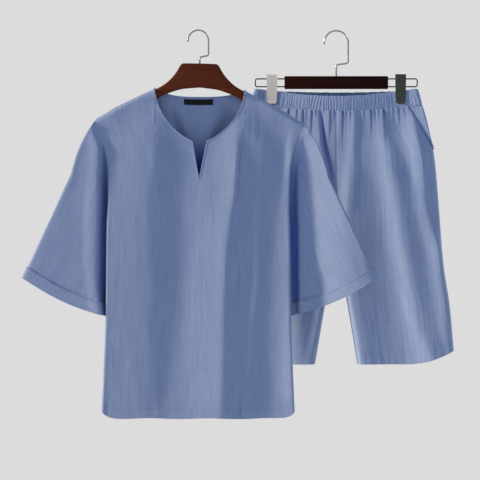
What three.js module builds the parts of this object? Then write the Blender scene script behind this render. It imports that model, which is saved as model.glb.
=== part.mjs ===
// A pyjama set on two hangers: a half-sleeved top with a notched neck on a wooden shoulder
// hanger, and a pair of knee-length elastic-waist shorts on a clip hanger behind it.
// Millimetres. +X is to the right, -Y is towards the front and +Z is up. The origin is the
// underside of the bend of the shoulder hanger's hook, where a peg carries it.
import * as THREE from "three";

const { PI, abs, acos, cos, floor, max, min, sign, sin, sqrt } = Math;

// ---- Driving dimensions ---------------------------------------------------------------

const CLOTH = 1.6; // wall of every cloth panel
const SEAM = 0.3; // gap left between two pieces that meet
const LAYER = CLOTH + SEAM; // how far a piece that lies on a panel is moved off it

const TOP_X = 3.2; // the hook's bend stands this far left of the shoulders' middle
const SHOULDER_X = 222; // half the top's width from armhole to armhole
const NECK_X = 97; // half the width of the neck
const NECK_ROUND = 1.7; // 2 would make the front neck an ellipse, and 1 a straight V
const NECK_FRONT_Z = -240; // where the round of the front neck would bottom out
const NECK_BACK_Z = -142; // middle of the back neck
const NECK_TURN = 8; // depth of the neck's turned edge
const NOTCH_X = 17; // half the gap at the top of the notch
const NOTCH_Z = -317; // bottom of the notch
const ARMHOLE = { half: 14, z: -215 }; // half its opening, front to back, and where that is
const UNDERARM_Z = -430;
const HEM_Z = -832;
const DRAPE = 225; // the body reaches its full depth this far below the shoulder
const BODY_FLAT = 40; // 2 would make the body an ellipse from side to side, and more is flatter

const HANGER_TILT = 0.024; // the shoulder hanger falls this much per mm to the right
const BOARD_HALF = 7.6; // half the thickness of the hanger's middle
const ARM_HALF = 11; // half the thickness of its shoulder ends
const ARM_END_X = 217;
const SEAT = 2.8; // from the hanger's arm to the outer face of the cloth over it

const CUFF = 25; // depth of the sleeve's cuff
const TIP = { x: 380.5, z: -530.5 }; // outer end of the sleeve's hem
const PIT = { x: 200.8, y: 11, z: -612 }; // inner end of the sleeve's hem
const HEM_BOW = 10; // how far the sleeve's hem hangs below a straight line
const SLEEVE_BACK = 18; // how far the back of a sleeve stands out

const SHORTS_X = 299.7; // middle of the shorts
const SHORTS_Y = 85; // the shorts hang this far behind the top
const WAIST_HALF = 181;
const WAIST_Z = -125.6; // top of the waistband at the clips
const BAND_DEEP = 35;
const BAND_WALL = 2.4;
const BAND_HALF = 3.2; // half the thickness of the waistband where the clips pinch it
const BAND_END = 6; // radius of the loop at each end of the waistband
const BAND_BOW = 11; // how far it bows out between the clips
const BAND_FLARE = [0.985, 1.035]; // its width at the top and at the foot, in shares
const CROTCH_Z = -465;
const LEG_HEM_Z = -719;
const INSEAM_SPREAD = 46; // from the middle to the inner edge of a leg's hem
const LEG_FLAT = 30; // 2 would make a leg an ellipse, and more is flatter
const POCKET = { x: 156, topZ: -158, bottomZ: -252, under: 14 };

const HOOK_WIRE = 1.7; // radius of a hook's wire
const LOOP_WIRE = 1.4; // radius of the clip hanger's wire
const WIRE_SIDES = 10;
const LOOP = { half: 178, topZ: -97.8, bottomZ: -114.9, bend: 5 };
const BAR = { half: 113, thick: 12, topZ: -92, bottomZ: -120 };
const CLIP = { x: 140.5, wide: 24, topZ: -87.6, bottomZ: -151.8, wall: 1.7 };
const CLIP_HOOK = { jogZ: -67, centreZ: -18.9, radius: 26 };
const TOP_HOOK = { jogZ: -56, radius: 22 };

// Sections of the top's body: half width, and how far front and back stand off the middle.
const TOP_SECTIONS = [
  { z: -206, half: 222, front: 21, back: 12 },
  { z: -250, half: 206, front: 21.5, back: 14 },
  { z: -300, half: 197, front: 22, back: 18 },
  { z: -360, half: 195.5, front: 22.5, back: 21 },
  { z: -430, half: 197.5, front: 23, back: 22.5 },
  { z: -600, half: 198, front: 25, back: 24 },
  { z: -740, half: 203.5, front: 27, back: 26 },
  { z: -832, half: 208, front: 28, back: 27 },
];

// Upper and lower edge of the shoulder hanger, from its middle outwards.
const BOARD = [
  { x: 0, top: -70, bottom: -121.5 },
  { x: 36, top: -70.4, bottom: -125.4 },
  { x: 41, top: -74, bottom: -126.5 },
  { x: 48, top: -86, bottom: -128.4 },
  { x: 56, top: -97.5, bottom: -131 },
  { x: 74, top: -115, bottom: -138 },
  { x: 97, top: -128.6, bottom: -150 },
  { x: 165, top: -162.5, bottom: -189 },
  { x: 222, top: -196, bottom: -221 },
];

// Folds of the top's body. Each crest runs from x at the shoulders to x at the hem, stands out
// by rise, and fades over left and right of the crest.
const FRONT_FOLDS = [
  { top: -108, hem: -126, rise: 4, left: 70, right: 50 },
  { top: -30, hem: -60, rise: -6, left: 44, right: 42 },
  { top: 84, hem: 50, rise: 9, left: 40, right: 22 },
  { top: 184, hem: 146, rise: -4, left: 36, right: 20 },
  { top: 198, hem: 210, rise: 6, left: 22, right: 20 },
];
const BACK_FOLDS = [
  { top: -120, hem: -128, rise: 8, left: 34, right: 50 },
  { top: -20, hem: -30, rise: 5, left: 40, right: 30 },
  { top: 70, hem: 84, rise: 9, left: 40, right: 56 },
];

// The front of each sleeve's hem: y at places from its outer tip, 0, to the underarm, 1. The right
// sleeve is turned forward at its tip.
const SLEEVES = [
  {
    name: "left",
    side: -1,
    front: [
      { place: 0, y: -10 },
      { place: 0.12, y: -18 },
      { place: 0.64, y: -20 },
      { place: 0.84, y: -24 },
      { place: 0.96, y: -2 },
      { place: 1, y: PIT.y },
    ],
  },
  {
    name: "right",
    side: 1,
    front: [
      { place: 0, y: -30 },
      { place: 0.12, y: -46 },
      { place: 0.4, y: -33 },
      { place: 0.64, y: -14 },
      { place: 0.84, y: -8 },
      { place: 1, y: PIT.y },
    ],
  },
];

// Sections of the shorts: outer edge from the middle, and how far front and back stand off it.
const SHORTS_SECTIONS = [
  { z: -146, outer: 185, front: 18, back: 18 },
  { z: -185, outer: 197, front: 19, back: 19 },
  { z: -268, outer: 214, front: 20, back: 20 },
  { z: -347, outer: 221.5, front: 20, back: 20 },
  { z: -510, outer: 234, front: 20, back: 20 },
  { z: -608, outer: 247, front: 20, back: 20 },
  { z: -719, outer: 256, front: 20, back: 20 },
];

// Folds of one leg, mirrored on the other. A fold has faded out at the height called end.
const LEG_FOLDS = [
  { top: 28, hem: 40, rise: 5, left: 18, right: 30, end: -900 },
  { top: 82, hem: 208, rise: 13, left: 28, right: 38, end: -900 },
  { top: 157, hem: 256, rise: 9, left: 24, right: 14, end: -900 },
];

// ---- Small tools ----------------------------------------------------------------------

const point = (x, y, z) => new THREE.Vector3(x, y, z);
const mix = (a, b, t) => a + (b - a) * t;
const clamp = (t) => min(max(t, 0), 1);
const ease = (t) => clamp(t) ** 2 * (3 - 2 * clamp(t));
const steps = (from, to, n) => Array.from({ length: n + 1 }, (_, i) => mix(from, to, i / n));
const mirrored = (list) => [...list.slice(1).reverse().map((value) => -value), ...list];

// A table's columns at any place along its key, on smooth curves that never overshoot.
function row(table, key, at) {
  const rows = table[0][key] < table.at(-1)[key] ? table : [...table].reverse();
  const place = min(max(at, rows[0][key]), rows.at(-1)[key]);
  const next = max(1, rows.findIndex((r) => r[key] >= place));
  const gap = (n) => rows[n][key] - rows[n - 1][key];
  const slope = (n, column) => (rows[n][column] - rows[n - 1][column]) / gap(n);
  const tangent = (n, column) => {
    if (n === 0) return slope(1, column);
    if (n === rows.length - 1) return slope(n, column);
    const [before, after] = [slope(n, column), slope(n + 1, column)];
    return before * after > 0 ? (2 * before * after) / (before + after) : 0;
  };
  const t = (place - rows[next - 1][key]) / gap(next);
  const blend = (column) => {
    const bend = (1 - t) * tangent(next - 1, column) - t * tangent(next, column);
    return mix(rows[next - 1][column], rows[next][column], ease(t)) + gap(next) * t * (1 - t) * bend;
  };
  return Object.fromEntries(Object.keys(rows[0]).map((column) => [column, blend(column)]));
}

// How far a set of folds stands out at x, a share called down of the way to the hem.
function folds(table, x, down, z = 0) {
  const height = ({ top, hem, rise, left, right, end }) => {
    const away = x - mix(top, hem, down);
    const lasts = end ? ease((z - end) / 120) : 1;
    return rise * lasts * Math.exp(-((away / (away < 0 ? left : right)) ** 2));
  };
  return table.reduce((sum, fold) => sum + height(fold), 0);
}

// The direction du x dv at a point of a surface(u, v). A ring runs on past its two ends.
function normalAt(surface, u, v, us, vs, ring) {
  const span = us.at(-1) - us[0];
  const inside = (value, list) => min(max(value, list[0]), list.at(-1));
  const round = (value) => us[0] + ((value - us[0] + span) % span);
  const uAt = (value) => (ring ? round(value) : inside(value, us));
  const du = surface(uAt(u + 1e-4 * span), v).sub(surface(uAt(u - 1e-4 * span), v));
  const dv = surface(u, inside(v + 2e-4, vs)).sub(surface(u, inside(v - 2e-4, vs)));
  return du.cross(dv).normalize();
}

// A closed wall on a surface(u, v). Its outer face is the surface moved out by lift, and its
// inner face lies thick below that. Out is du x dv times flip. A ring joins up in u. A wall with
// square set has its first row cut in the plane of the armhole, square to X.
function wall(surface, us, vs, { thick = CLOTH, lift = 0, flip = 1, ring = false, square = false }) {
  const columns = ring ? us.slice(0, -1) : us;
  const [across, down] = [columns.length, vs.length];
  const points = [lift, lift - thick].flatMap((depth) =>
    columns.flatMap((u) =>
      vs.map((v) => {
        const out = normalAt(surface, u, v, us, vs, ring).multiplyScalar(flip);
        if (square && v === vs[0]) out.setX(0).normalize();
        return surface(u, v).addScaledVector(out, depth);
      }),
    ),
  );
  const at = (layer, i, j) => (layer * across + (i % across)) * down + j;
  const faces = [];
  const quad = (a, b, c, d) => faces.push(...(flip > 0 ? [a, b, c, a, c, d] : [a, c, b, a, d, c]));
  const spans = ring ? across : across - 1;
  const [right, foot] = [across - 1, down - 1];
  for (let i = 0; i < spans; i++) {
    for (let j = 0; j < foot; j++) {
      quad(at(0, i, j), at(0, i + 1, j), at(0, i + 1, j + 1), at(0, i, j + 1));
      quad(at(1, i, j), at(1, i, j + 1), at(1, i + 1, j + 1), at(1, i + 1, j));
    }
    quad(at(0, i, 0), at(1, i, 0), at(1, i + 1, 0), at(0, i + 1, 0));
    quad(at(0, i, foot), at(0, i + 1, foot), at(1, i + 1, foot), at(1, i, foot));
  }
  for (let j = 0; j < foot && !ring; j++) {
    quad(at(0, 0, j), at(0, 0, j + 1), at(1, 0, j + 1), at(1, 0, j));
    quad(at(0, right, j), at(1, right, j), at(1, right, j + 1), at(0, right, j + 1));
  }
  return indexed(points, faces);
}

// A solid through rings of equally many points, with a flat cap on its first and last ring.
function loft(rings) {
  const count = rings[0].length;
  const faces = [];
  for (let r = 0; r < rings.length - 1; r++)
    for (let i = 0; i < count; i++) {
      const [a, b] = [r * count + i, r * count + ((i + 1) % count)];
      faces.push(a, b, b + count, a, b + count, a + count);
    }
  const end = (rings.length - 1) * count;
  for (let i = 1; i < count - 1; i++) faces.push(0, i + 1, i, end, end + i, end + i + 1);
  return indexed(rings.flat(), faces);
}

function indexed(points, faces) {
  const geometry = new THREE.BufferGeometry().setFromPoints(points);
  geometry.setIndex(faces);
  geometry.computeVertexNormals();
  return geometry;
}

// A polyline whose inner corners become short curves that start and end reach away from them.
function rounded(corners, reach) {
  return corners.flatMap((corner, i) => {
    if (i === 0 || i === corners.length - 1) return [corner];
    const towards = (other) => other.clone().sub(corner).setLength(reach).add(corner);
    const [start, end] = [towards(corners[i - 1]), towards(corners[i + 1])];
    return new THREE.QuadraticBezierCurve3(start, corner, end).getPoints(4);
  });
}

// A round wire along a path that lies in the XZ plane, mitred where the path turns.
function wire(path, radius) {
  const heading = (n) => {
    const start = min(max(n, 0), path.length - 2);
    return path[start + 1].clone().sub(path[start]).normalize();
  };
  const rings = path.map((place, i) => {
    const ahead = heading(i).add(heading(i - 1)).normalize();
    const across = point(ahead.z, 0, -ahead.x).divideScalar(ahead.dot(heading(i)));
    return steps(0, 2 * PI, WIRE_SIDES).slice(1).map((angle) =>
      place.clone().addScaledVector(across, radius * cos(angle)).add(point(0, radius * sin(angle), 0)),
    );
  });
  return loft(rings);
}

// A ring of points round a section of wood in the plane at x, with rounded upper and lower edges.
function woodRing(x, half, top, bottom, upper, lower) {
  const corner = (side, centreZ, radius, height, from) =>
    steps(from, from + PI / 2, 3).map((angle) =>
      point(x, side * (half - radius) + radius * cos(angle), centreZ + height * sin(angle)),
    );
  const round = min(upper, half);
  return [
    ...corner(1, top - upper, round, upper, 0),
    ...corner(-1, top - upper, round, upper, PI / 2).slice(round < half ? 0 : 1),
    ...corner(-1, bottom + lower, lower, lower, PI),
    ...corner(1, bottom + lower, lower, lower, 1.5 * PI),
  ];
}

const materials = {
  cloth: new THREE.MeshStandardMaterial({ color: 0x7f93c4, roughness: 0.85 }),
  label: new THREE.MeshStandardMaterial({ color: 0x15171a, roughness: 0.7 }),
  wood: new THREE.MeshStandardMaterial({ color: 0x5a2411, roughness: 0.35 }),
  darkWood: new THREE.MeshStandardMaterial({ color: 0x2a0f08, roughness: 0.35 }),
  steel: new THREE.MeshStandardMaterial({ color: 0xb0aca6, roughness: 0.25, metalness: 1 }),
};

function piece(parent, name, geometry, material) {
  const mesh = new THREE.Mesh(geometry, material);
  mesh.name = name;
  parent.add(mesh);
}

// ---- The shoulder hanger, which the top's shoulders follow ------------------------------

const boardTop = (x) => row(BOARD, "x", abs(x)).top - HANGER_TILT * x;
const boardBottom = (x) => row(BOARD, "x", abs(x)).bottom - HANGER_TILT * x;
const armHalf = (x) => mix(BOARD_HALF, ARM_HALF, ease((abs(x) - NECK_X) / 125));
const seamZ = (x) => boardTop(x) + SEAT;
const clothHalf = (x) => armHalf(x) + SEAT;

function buildTopHanger(parent) {
  const outwards = [0, 30, 38, 44, 52, 62, 76, NECK_X, 120, 150, 180, 205, ARM_END_X];
  const rings = mirrored(outwards).map((x) => {
    const half = armHalf(x);
    const upper = mix(4, half, ease((abs(x) - 62) / 35));
    return woodRing(x, half, boardTop(x), boardBottom(x), upper, 4);
  });
  piece(parent, "top_hanger", loft(rings), materials.wood);
}

// A hook: a stem at stemX that steps to the right, rises, and turns over to the left about x 0.
function hookWire({ stemX, footZ, jogZ, centreZ, radius }) {
  const [stem, side] = [(z) => point(stemX, 0, z), (z) => point(radius, 0, z)];
  const start = rounded([stem(footZ), stem(jogZ), side(jogZ + 3), side(centreZ)], 5);
  const bend = steps(0, 1.03 * PI, 14).map((a) => point(radius * cos(a), 0, centreZ + radius * sin(a)));
  return wire([...start, ...bend.slice(1)], HOOK_WIRE);
}

// ---- The top ----------------------------------------------------------------------------

// Height of the upper edge of the front (-1) or the back (1), on the column that starts at x.
function topEdge(face, x) {
  const out = abs(x) / NECK_X;
  if (out >= 1) return seamZ(x);
  const neckPoint = seamZ(sign(x) * NECK_X);
  if (face > 0) return mix(NECK_BACK_Z, neckPoint, out ** 3);
  const round = (share) => (1 - share ** NECK_ROUND) ** (1 / NECK_ROUND);
  if (abs(x) >= NOTCH_X) return mix(neckPoint, NECK_FRONT_Z, round(out));
  const notchTop = mix(neckPoint, NECK_FRONT_Z, round(NOTCH_X / NECK_X));
  return mix(NOTCH_Z, notchTop, (abs(x) / NOTCH_X) ** 1.2);
}

// The side seam and the sleeve's underside lie behind the middle, and the armhole curves back to
// them as it closes.
const sideSeamY = (z) => PIT.y * ease((ARMHOLE.z - z) / 150);
function armholeHalf(z) {
  const down = clamp((ARMHOLE.z - z) / (ARMHOLE.z - UNDERARM_Z));
  return ARMHOLE.half * sqrt(1 - down ** 0.6);
}

// Below the chest the body hangs straight under the hook's bend, TOP_X left of the shoulders.
const swayX = (z) => -TOP_X * ease((-220 - z) / 210);

// The hem rises at the side seams and waves a little between them.
const hemZ = (f) => HEM_Z + 15 * abs(f) ** 16 + 2 * sin(5 * f + 1) ** 2;

// The outer face of the top's front (-1) or back (1). f runs across it from -1 to 1. v runs 0 to
// 1 over the hanger's arm, to 2 at the height of the underarm and to 3 at the hem.
function topPoint(face, f, v) {
  const start = f * SHOULDER_X;
  const [edge, seam, round] = [topEdge(face, start), seamZ(start), clothHalf(start)];
  const first = acos(1 - min((seam - edge) / round, 1));
  const turn = mix(first, PI / 2, min(v, 1));
  const overTop = edge - round * (cos(first) - cos(turn)) - NECK_TURN * min(v, 1) * (first / (PI / 2));
  const upper = mix(overTop, UNDERARM_Z, v > 1 ? sin((PI / 2) * min(v - 1, 1)) : 0);
  const z = v > 2 ? mix(UNDERARM_Z, hemZ(f), v - 2) : upper;

  const section = row(TOP_SECTIONS, "z", z);
  const x = f * section.half;
  const inset = sqrt(max(1 - abs(f) ** BODY_FLAT, 0));
  const drape = ease((min(seam, boardTop(NECK_X)) - z) / DRAPE);
  const down = clamp((-150 - z) / (-150 - HEM_Z));
  const overArm = round * sin(turn);
  const fold = folds(face < 0 ? FRONT_FOLDS : BACK_FOLDS, x, down) * drape;
  const middle = mix(overArm, face < 0 ? section.front : section.back, drape) + fold;
  const side = mix(overArm, armholeHalf(z) + face * sideSeamY(z), ease((seam - z) / 90));
  return point(x + swayX(z), face * (mix(side, middle, inset) + SEAM / 2), z);
}

// The outer face of a sleeve. r runs round it, from -2 at the underarm over the front to 0 at the
// shoulder and over the back to 2. m runs 0 to 1 down to the top of the cuff, and 2 is the hem.
function sleevePoint({ side, front }, r, m) {
  const from = topPoint(r < 0 ? -1 : 1, side, abs(r)).add(point(side * SEAM, 0, 0));
  const q = 0.12 * min(abs(r), 1) + 0.88 * sin((PI / 2) * clamp(abs(r) - 1));
  const before = row(front, "place", q).y;
  const behind = mix(front[0].y, PIT.y, q) + SLEEVE_BACK * sin(PI * q) ** 0.75;
  const hem = point(side * mix(TIP.x, PIT.x, q), r < 0 ? before : behind, mix(TIP.z, PIT.z, q));
  hem.x -= TOP_X * q;
  hem.z -= HEM_BOW * sin(PI * q);

  const cuffAt = 1 - CUFF / from.distanceTo(hem);
  const t = m <= 1 ? m * cuffAt : mix(cuffAt, 1, m - 1);
  const crown = 7 * sin(PI * min(t / 0.35, 1)) * (1 - q) ** 2;
  const early = mix(t, 1 - (1 - t) ** 5, clamp(-r)); // the front soon stands out
  const y = mix(from.y, hem.y, early);
  return from.lerp(hem, t).add(point(side * crown, 0, crown / 2)).setY(y);
}

function buildTop(parent) {
  const neckline = steps(0, 1, 8).map((t) => NECK_X * cos(0.4 * PI * t ** 1.8) ** (2 / NECK_ROUND));
  const starts = [0, NOTCH_X / 2, NOTCH_X, ...neckline.reverse(), 120, 146, 170, 192, 208, 217, 220.8, 222];
  const across = mirrored(starts.map((x) => x / SHOULDER_X));
  const rows = [0, 1 / 3, 2 / 3, ...steps(1, 2, 5), ...steps(2, 3, 4).slice(1)];
  for (const [name, face] of [["top_front", -1], ["top_back", 1]]) {
    const surface = (f, v) => topPoint(face, f, v);
    piece(parent, name, wall(surface, across, rows, { flip: face }), materials.cloth);
  }

  const label = { x: -3, half: 31, rows: [0.6, 1, 1.03] };
  const labelAt = (s, v) => topPoint(1, (label.x + label.half * s) / SHOULDER_X, v);
  const onBack = { lift: -LAYER, thick: 0.8 };
  piece(parent, "neck_label", wall(labelAt, steps(-1, 1, 6), label.rows, onBack), materials.label);

  const round = mirrored(rows.filter((v) => v <= 2));
  for (const sleeve of SLEEVES) {
    const surface = (r, m) => sleevePoint(sleeve, r, m);
    const tube = { flip: -sleeve.side, ring: true };
    const sleeveWall = wall(surface, round, [0, 0.06, ...steps(1 / 6, 1, 5), 1.9], { ...tube, square: true });
    piece(parent, `sleeve_${sleeve.name}`, sleeveWall, materials.cloth);
    const cuffWall = wall(surface, round, [1, 2], { ...tube, lift: LAYER + SEAM });
    piece(parent, `cuff_${sleeve.name}`, cuffWall, materials.cloth);
  }
}

// ---- The shorts, about their own middle ---------------------------------------------------

// How far the waistband's outer face stands off the middle: pinched flat under the clips, bowed
// apart between them, and a round loop at each end.
function bandHalf(x) {
  const out = abs(x);
  const endX = WAIST_HALF - BAND_END;
  if (out > endX) return sqrt(max(BAND_END ** 2 - (out - endX) ** 2, 0));
  const bow = BAND_BOW * max(1 - (out / 125) ** 2, 0) ** 1.5;
  const loop = (BAND_END - BAND_HALF) * ease((out - 160) / (endX - 160));
  return BAND_HALF + bow + loop;
}

// Upper and lower edge of the waistband, which sags between the clips and rises at its ends.
const bandSag = (face, x) => (face < 0 ? 11 : 2) * max(1 - (x / 130) ** 2, 0);
const bandTop = (face, x) => WAIST_Z - bandSag(face, x) + 5 * ease((abs(x) - 130) / 50);
const bandFoot = (face, x) => bandTop(face, x) - BAND_DEEP + 0.3 * bandSag(face, x);

// The outer face of the waistband. r runs round it: -1 is the middle of the front, 0 the right
// end and 1 the middle of the back. v runs 0 to 1 down it.
function bandPoint(r, v) {
  const face = r < 0 ? -1 : 1;
  const along = face < 0 ? r + 1 : 1 - r;
  const flat = 0.88; // share of each face that isn't its end loop
  const angle = (PI / 2) * clamp((abs(along) - flat) / (1 - flat));
  const endX = WAIST_HALF - BAND_END;
  const x = abs(along) < flat ? (along / flat) * endX : sign(along) * (endX + BAND_END * sin(angle));
  const half = abs(along) < flat ? bandHalf(x) : BAND_END * cos(angle);
  return point(x * mix(...BAND_FLARE, v), face * half, mix(bandTop(face, x), bandFoot(face, x), v));
}

const outerX = (z) => row(SHORTS_SECTIONS, "z", z).outer;
const inseamX = (z) => SEAM / 2 + INSEAM_SPREAD * clamp((CROTCH_Z - z) / (CROTCH_Z - LEG_HEM_Z)) ** 0.9;

// How far one leg's front or back stands off the middle. Above the crotch its section is half a
// flat oval, from the middle to the side seam, and below it the section closes at the inseam too.
function legHalf(face, x, z) {
  const section = row(SHORTS_SECTIONS, "z", z);
  const inner = inseamX(z);
  const closed = ease((-385 - z) / (-385 - CROTCH_Z));
  const share = mix(-sin((PI / 2) * closed), 1, clamp((x - inner) / (section.outer - inner)));
  const round = sqrt(max(1 - abs(share) ** LEG_FLAT, 0));
  const full = (face < 0 ? section.front : section.back) * round;
  const band = bandHalf((x / section.outer) * WAIST_HALF);
  const down = clamp((WAIST_Z - z) / (WAIST_Z - LEG_HEM_Z));
  const shift = face < 0 ? 0 : 18; // the back's folds are not straight behind the front's
  const fold = folds(LEG_FOLDS, x + shift, down, z) * round * ease((-150 - z) / 180);
  return mix(band, full, ease((bandFoot(face, x) - z) / 130)) + fold + SEAM / 2;
}

// The outer edge of the front is cut away along the slant of the pocket.
function frontEdgeX(z) {
  const t = (POCKET.topZ - z) / (POCKET.topZ - POCKET.bottomZ);
  return t < 1 ? mix(POCKET.x, outerX(POCKET.bottomZ), clamp(t)) : outerX(z);
}

// The outer face of one leg's front or back. u runs from the middle or the inseam to the outer
// edge. v runs 0 to 1 down to the end of the pocket, to 2 at the crotch and to 3 at the hem.
function legPoint(side, face, u, v) {
  const edgeX = face < 0 ? frontEdgeX : outerX;
  const footX = u * edgeX(POCKET.topZ);
  const levels = [bandFoot(face, footX / BAND_FLARE[1]) - SEAM, POCKET.bottomZ, CROTCH_Z, LEG_HEM_Z];
  const zone = min(floor(v), 2);
  const z = mix(levels[zone], levels[zone + 1], v - zone);
  const x = mix(inseamX(z), edgeX(z), u);
  const rise = 30 * clamp((u - 0.5) / 0.5) ** 2 * clamp(v - 2);
  return point(side * x, face * legHalf(face, x, z), z + rise);
}

// The facing that shows between the pocket's slant and the side seam, and runs on under the
// front. u runs outwards and v down.
function pocketPoint(side, u, v) {
  const z = mix(POCKET.topZ - 3, POCKET.bottomZ + 20, v);
  const x = mix(frontEdgeX(z) - POCKET.under, outerX(z), u);
  return point(side * x, -legHalf(-1, x, z), z);
}

function buildShorts(parent) {
  const round = [...steps(-2, 0, 32), ...steps(0, 2, 32).slice(1)];
  const band = { thick: BAND_WALL, flip: -1, ring: true };
  piece(parent, "waistband", wall(bandPoint, round, steps(0, 1, 2), band), materials.cloth);

  const across = [0, 0.015, 0.06, 0.17, 0.3, 0.43, 0.55, 0.67, 0.78, 0.87, 0.93, 0.97, 0.99, 1];
  const down = [...steps(0, 1, 5), ...steps(1, 2, 4).slice(1), ...steps(2, 3, 4).slice(1)];
  for (const [name, side] of [["left", -1], ["right", 1]]) {
    for (const [end, face] of [["front", -1], ["back", 1]]) {
      const surface = (u, v) => legPoint(side, face, u, v);
      const legWall = wall(surface, across, down, { flip: side * face });
      piece(parent, `shorts_${end}_${name}`, legWall, materials.cloth);
    }
    const surface = (u, v) => pocketPoint(side, u, v);
    const under = { flip: -side, lift: -LAYER - 0.6, thick: 1.2 };
    const facing = wall(surface, [0, 0.2, 0.4, 0.6, 0.8, 0.92, 0.98], steps(0, 1, 4), under);
    piece(parent, `pocket_${name}`, facing, materials.cloth);
  }
}

// ---- The clip hanger, about its own middle --------------------------------------------------

function buildBar(parent) {
  const chamfer = 2;
  const ends = [[BAR.half - chamfer, 0], [BAR.half, chamfer]];
  const rings = [...ends.map(([x, inset]) => [-x, inset]).reverse(), ...ends].map(([x, inset]) => {
    const half = BAR.thick / 2 - inset;
    return woodRing(x, half, BAR.topZ - inset, BAR.bottomZ + inset, 3, 3);
  });
  piece(parent, "clip_bar", loft(rings), materials.darkWood);
}

// The wire that leaves one end of the bar, turns back and enters it again lower down.
function loopWire(side) {
  const inner = side * (BAR.half + SEAM);
  const outer = side * (LOOP.half - LOOP_WIRE);
  const corners = [
    point(inner, 0, LOOP.topZ),
    point(outer, 0, LOOP.topZ),
    point(outer, 0, LOOP.bottomZ),
    point(inner, 0, LOOP.bottomZ),
  ];
  return wire(rounded(corners, LOOP.bend), LOOP_WIRE);
}

// A clip seen from its end, extruded along X: a head that sits on the upper wire, and a jaw down
// each face of the waistband.
function clip(x) {
  const slot = BAND_HALF + SEAM;
  const outer = slot + CLIP.wall;
  const slotTop = LOOP.topZ + LOOP_WIRE + SEAM;
  const profile = new THREE.Shape([
    new THREE.Vector2(outer, CLIP.bottomZ),
    new THREE.Vector2(outer, CLIP.topZ - 2),
    new THREE.Vector2(outer - 2, CLIP.topZ),
    new THREE.Vector2(2 - outer, CLIP.topZ),
    new THREE.Vector2(-outer, CLIP.topZ - 2),
    new THREE.Vector2(-outer, CLIP.bottomZ),
    new THREE.Vector2(-slot, CLIP.bottomZ),
    new THREE.Vector2(-slot, slotTop),
    new THREE.Vector2(slot, slotTop),
    new THREE.Vector2(slot, CLIP.bottomZ),
  ]);
  const geometry = new THREE.ExtrudeGeometry(profile, { depth: CLIP.wide, bevelEnabled: false });
  const turned = new THREE.Matrix4().makeBasis(point(0, 1, 0), point(0, 0, 1), point(1, 0, 0));
  return geometry.applyMatrix4(turned).translate(x - CLIP.wide / 2, 0, 0);
}

function buildClipHanger(parent) {
  buildBar(parent);
  const hook = { stemX: 0, footZ: BAR.topZ + SEAM, ...CLIP_HOOK };
  piece(parent, "clip_hook", hookWire(hook), materials.steel);
  for (const [name, side] of [["left", -1], ["right", 1]]) {
    piece(parent, `clip_wire_${name}`, loopWire(side), materials.steel);
    piece(parent, `clip_${name}`, clip(side * CLIP.x), materials.steel);
  }
}

// ---- The set ------------------------------------------------------------------------------

const set = new THREE.Group();
const topGroup = new THREE.Group();
const shortsGroup = new THREE.Group();
topGroup.position.set(TOP_X, 0, 0);
shortsGroup.position.set(SHORTS_X, SHORTS_Y, 0);
set.add(topGroup, shortsGroup);

const topHook = {
  stemX: TOP_X,
  footZ: boardTop(0) + SEAM,
  centreZ: HOOK_WIRE - TOP_HOOK.radius,
  ...TOP_HOOK,
};
piece(set, "top_hook", hookWire(topHook), materials.steel);
buildTopHanger(topGroup);
buildTop(topGroup);
buildShorts(shortsGroup);
buildClipHanger(shortsGroup);

export default set;
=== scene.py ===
import math

import bpy
import numpy as np
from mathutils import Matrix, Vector


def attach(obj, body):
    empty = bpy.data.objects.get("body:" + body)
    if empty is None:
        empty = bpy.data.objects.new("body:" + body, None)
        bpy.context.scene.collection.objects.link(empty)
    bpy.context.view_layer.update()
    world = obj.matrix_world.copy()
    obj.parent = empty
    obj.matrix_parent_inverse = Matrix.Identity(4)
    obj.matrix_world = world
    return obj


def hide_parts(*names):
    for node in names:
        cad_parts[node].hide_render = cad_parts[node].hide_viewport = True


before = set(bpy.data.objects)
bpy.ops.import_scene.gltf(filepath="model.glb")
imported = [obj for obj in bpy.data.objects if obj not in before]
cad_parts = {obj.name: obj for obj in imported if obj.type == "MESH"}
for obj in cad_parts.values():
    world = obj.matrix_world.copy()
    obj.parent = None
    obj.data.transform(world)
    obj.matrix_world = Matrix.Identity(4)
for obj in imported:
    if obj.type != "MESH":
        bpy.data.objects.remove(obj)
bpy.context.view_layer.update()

MM = 0.001

# ---- Driving dimensions, most of them the CAD part's ----

TOP_X = 3.2  # the hook's bend stands this far left of the shoulders' middle
SHOULDER_X = 222  # half the top's width from armhole to armhole
NECK_X = 97  # half the width of the neck
NECK_ROUND = 1.7  # 2 would make the front neck an ellipse, and 1 a straight V
NECK_FRONT_Z, NECK_BACK_Z = -240, -142  # where the front's round and the back neck bottom out
NECK_TURN = 8  # the first stretch of the body's rows ends this far below the edge of the neck
NOTCH_X, NOTCH_Z, NOTCH_BEND = 17, -317, 1.2  # a bend of 1 would give it straight sides
UNDERARM_Z, HEM_Z = -430, -832
DRAPE = 225  # the body reaches its full depth this far below the shoulder
BODY_FLAT, BACK_FLAT = 180, 12  # 2 would make front or back an ellipse, and more is flatter
HEM_CORNERS, HEM_WAVE = 15, 2  # how far the top's hem rises at its corners, and wavers elsewhere
SHOULDER_FADE = 90  # over this height below the shoulders the top leaves the hanger's form
SWAY_FROM_Z, SWAY_OVER = -220, 210  # and swings back under the hook
SHADE_INSIDE_FROM_Z, SHADE_INSIDE_OVER = -222, 75  # inside it painted shade, a deeper blue, starts here and grows over this height and it ends here, having faded over this height
SHADE_INSIDE_TO_Z, SHADE_INSIDE_FADE = -520, 140  # and it ends here, having faded over this height

HANGER_TILT = 0.024  # the shoulder hanger falls this much per mm to the right
BOARD_HALF, ARM_HALF = 7.6, 11  # half the thickness of its middle and of its shoulder ends
ARM_END_X = 217
SEAT = 2.8  # from the hanger's arm to the outer face of the cloth over it

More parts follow.
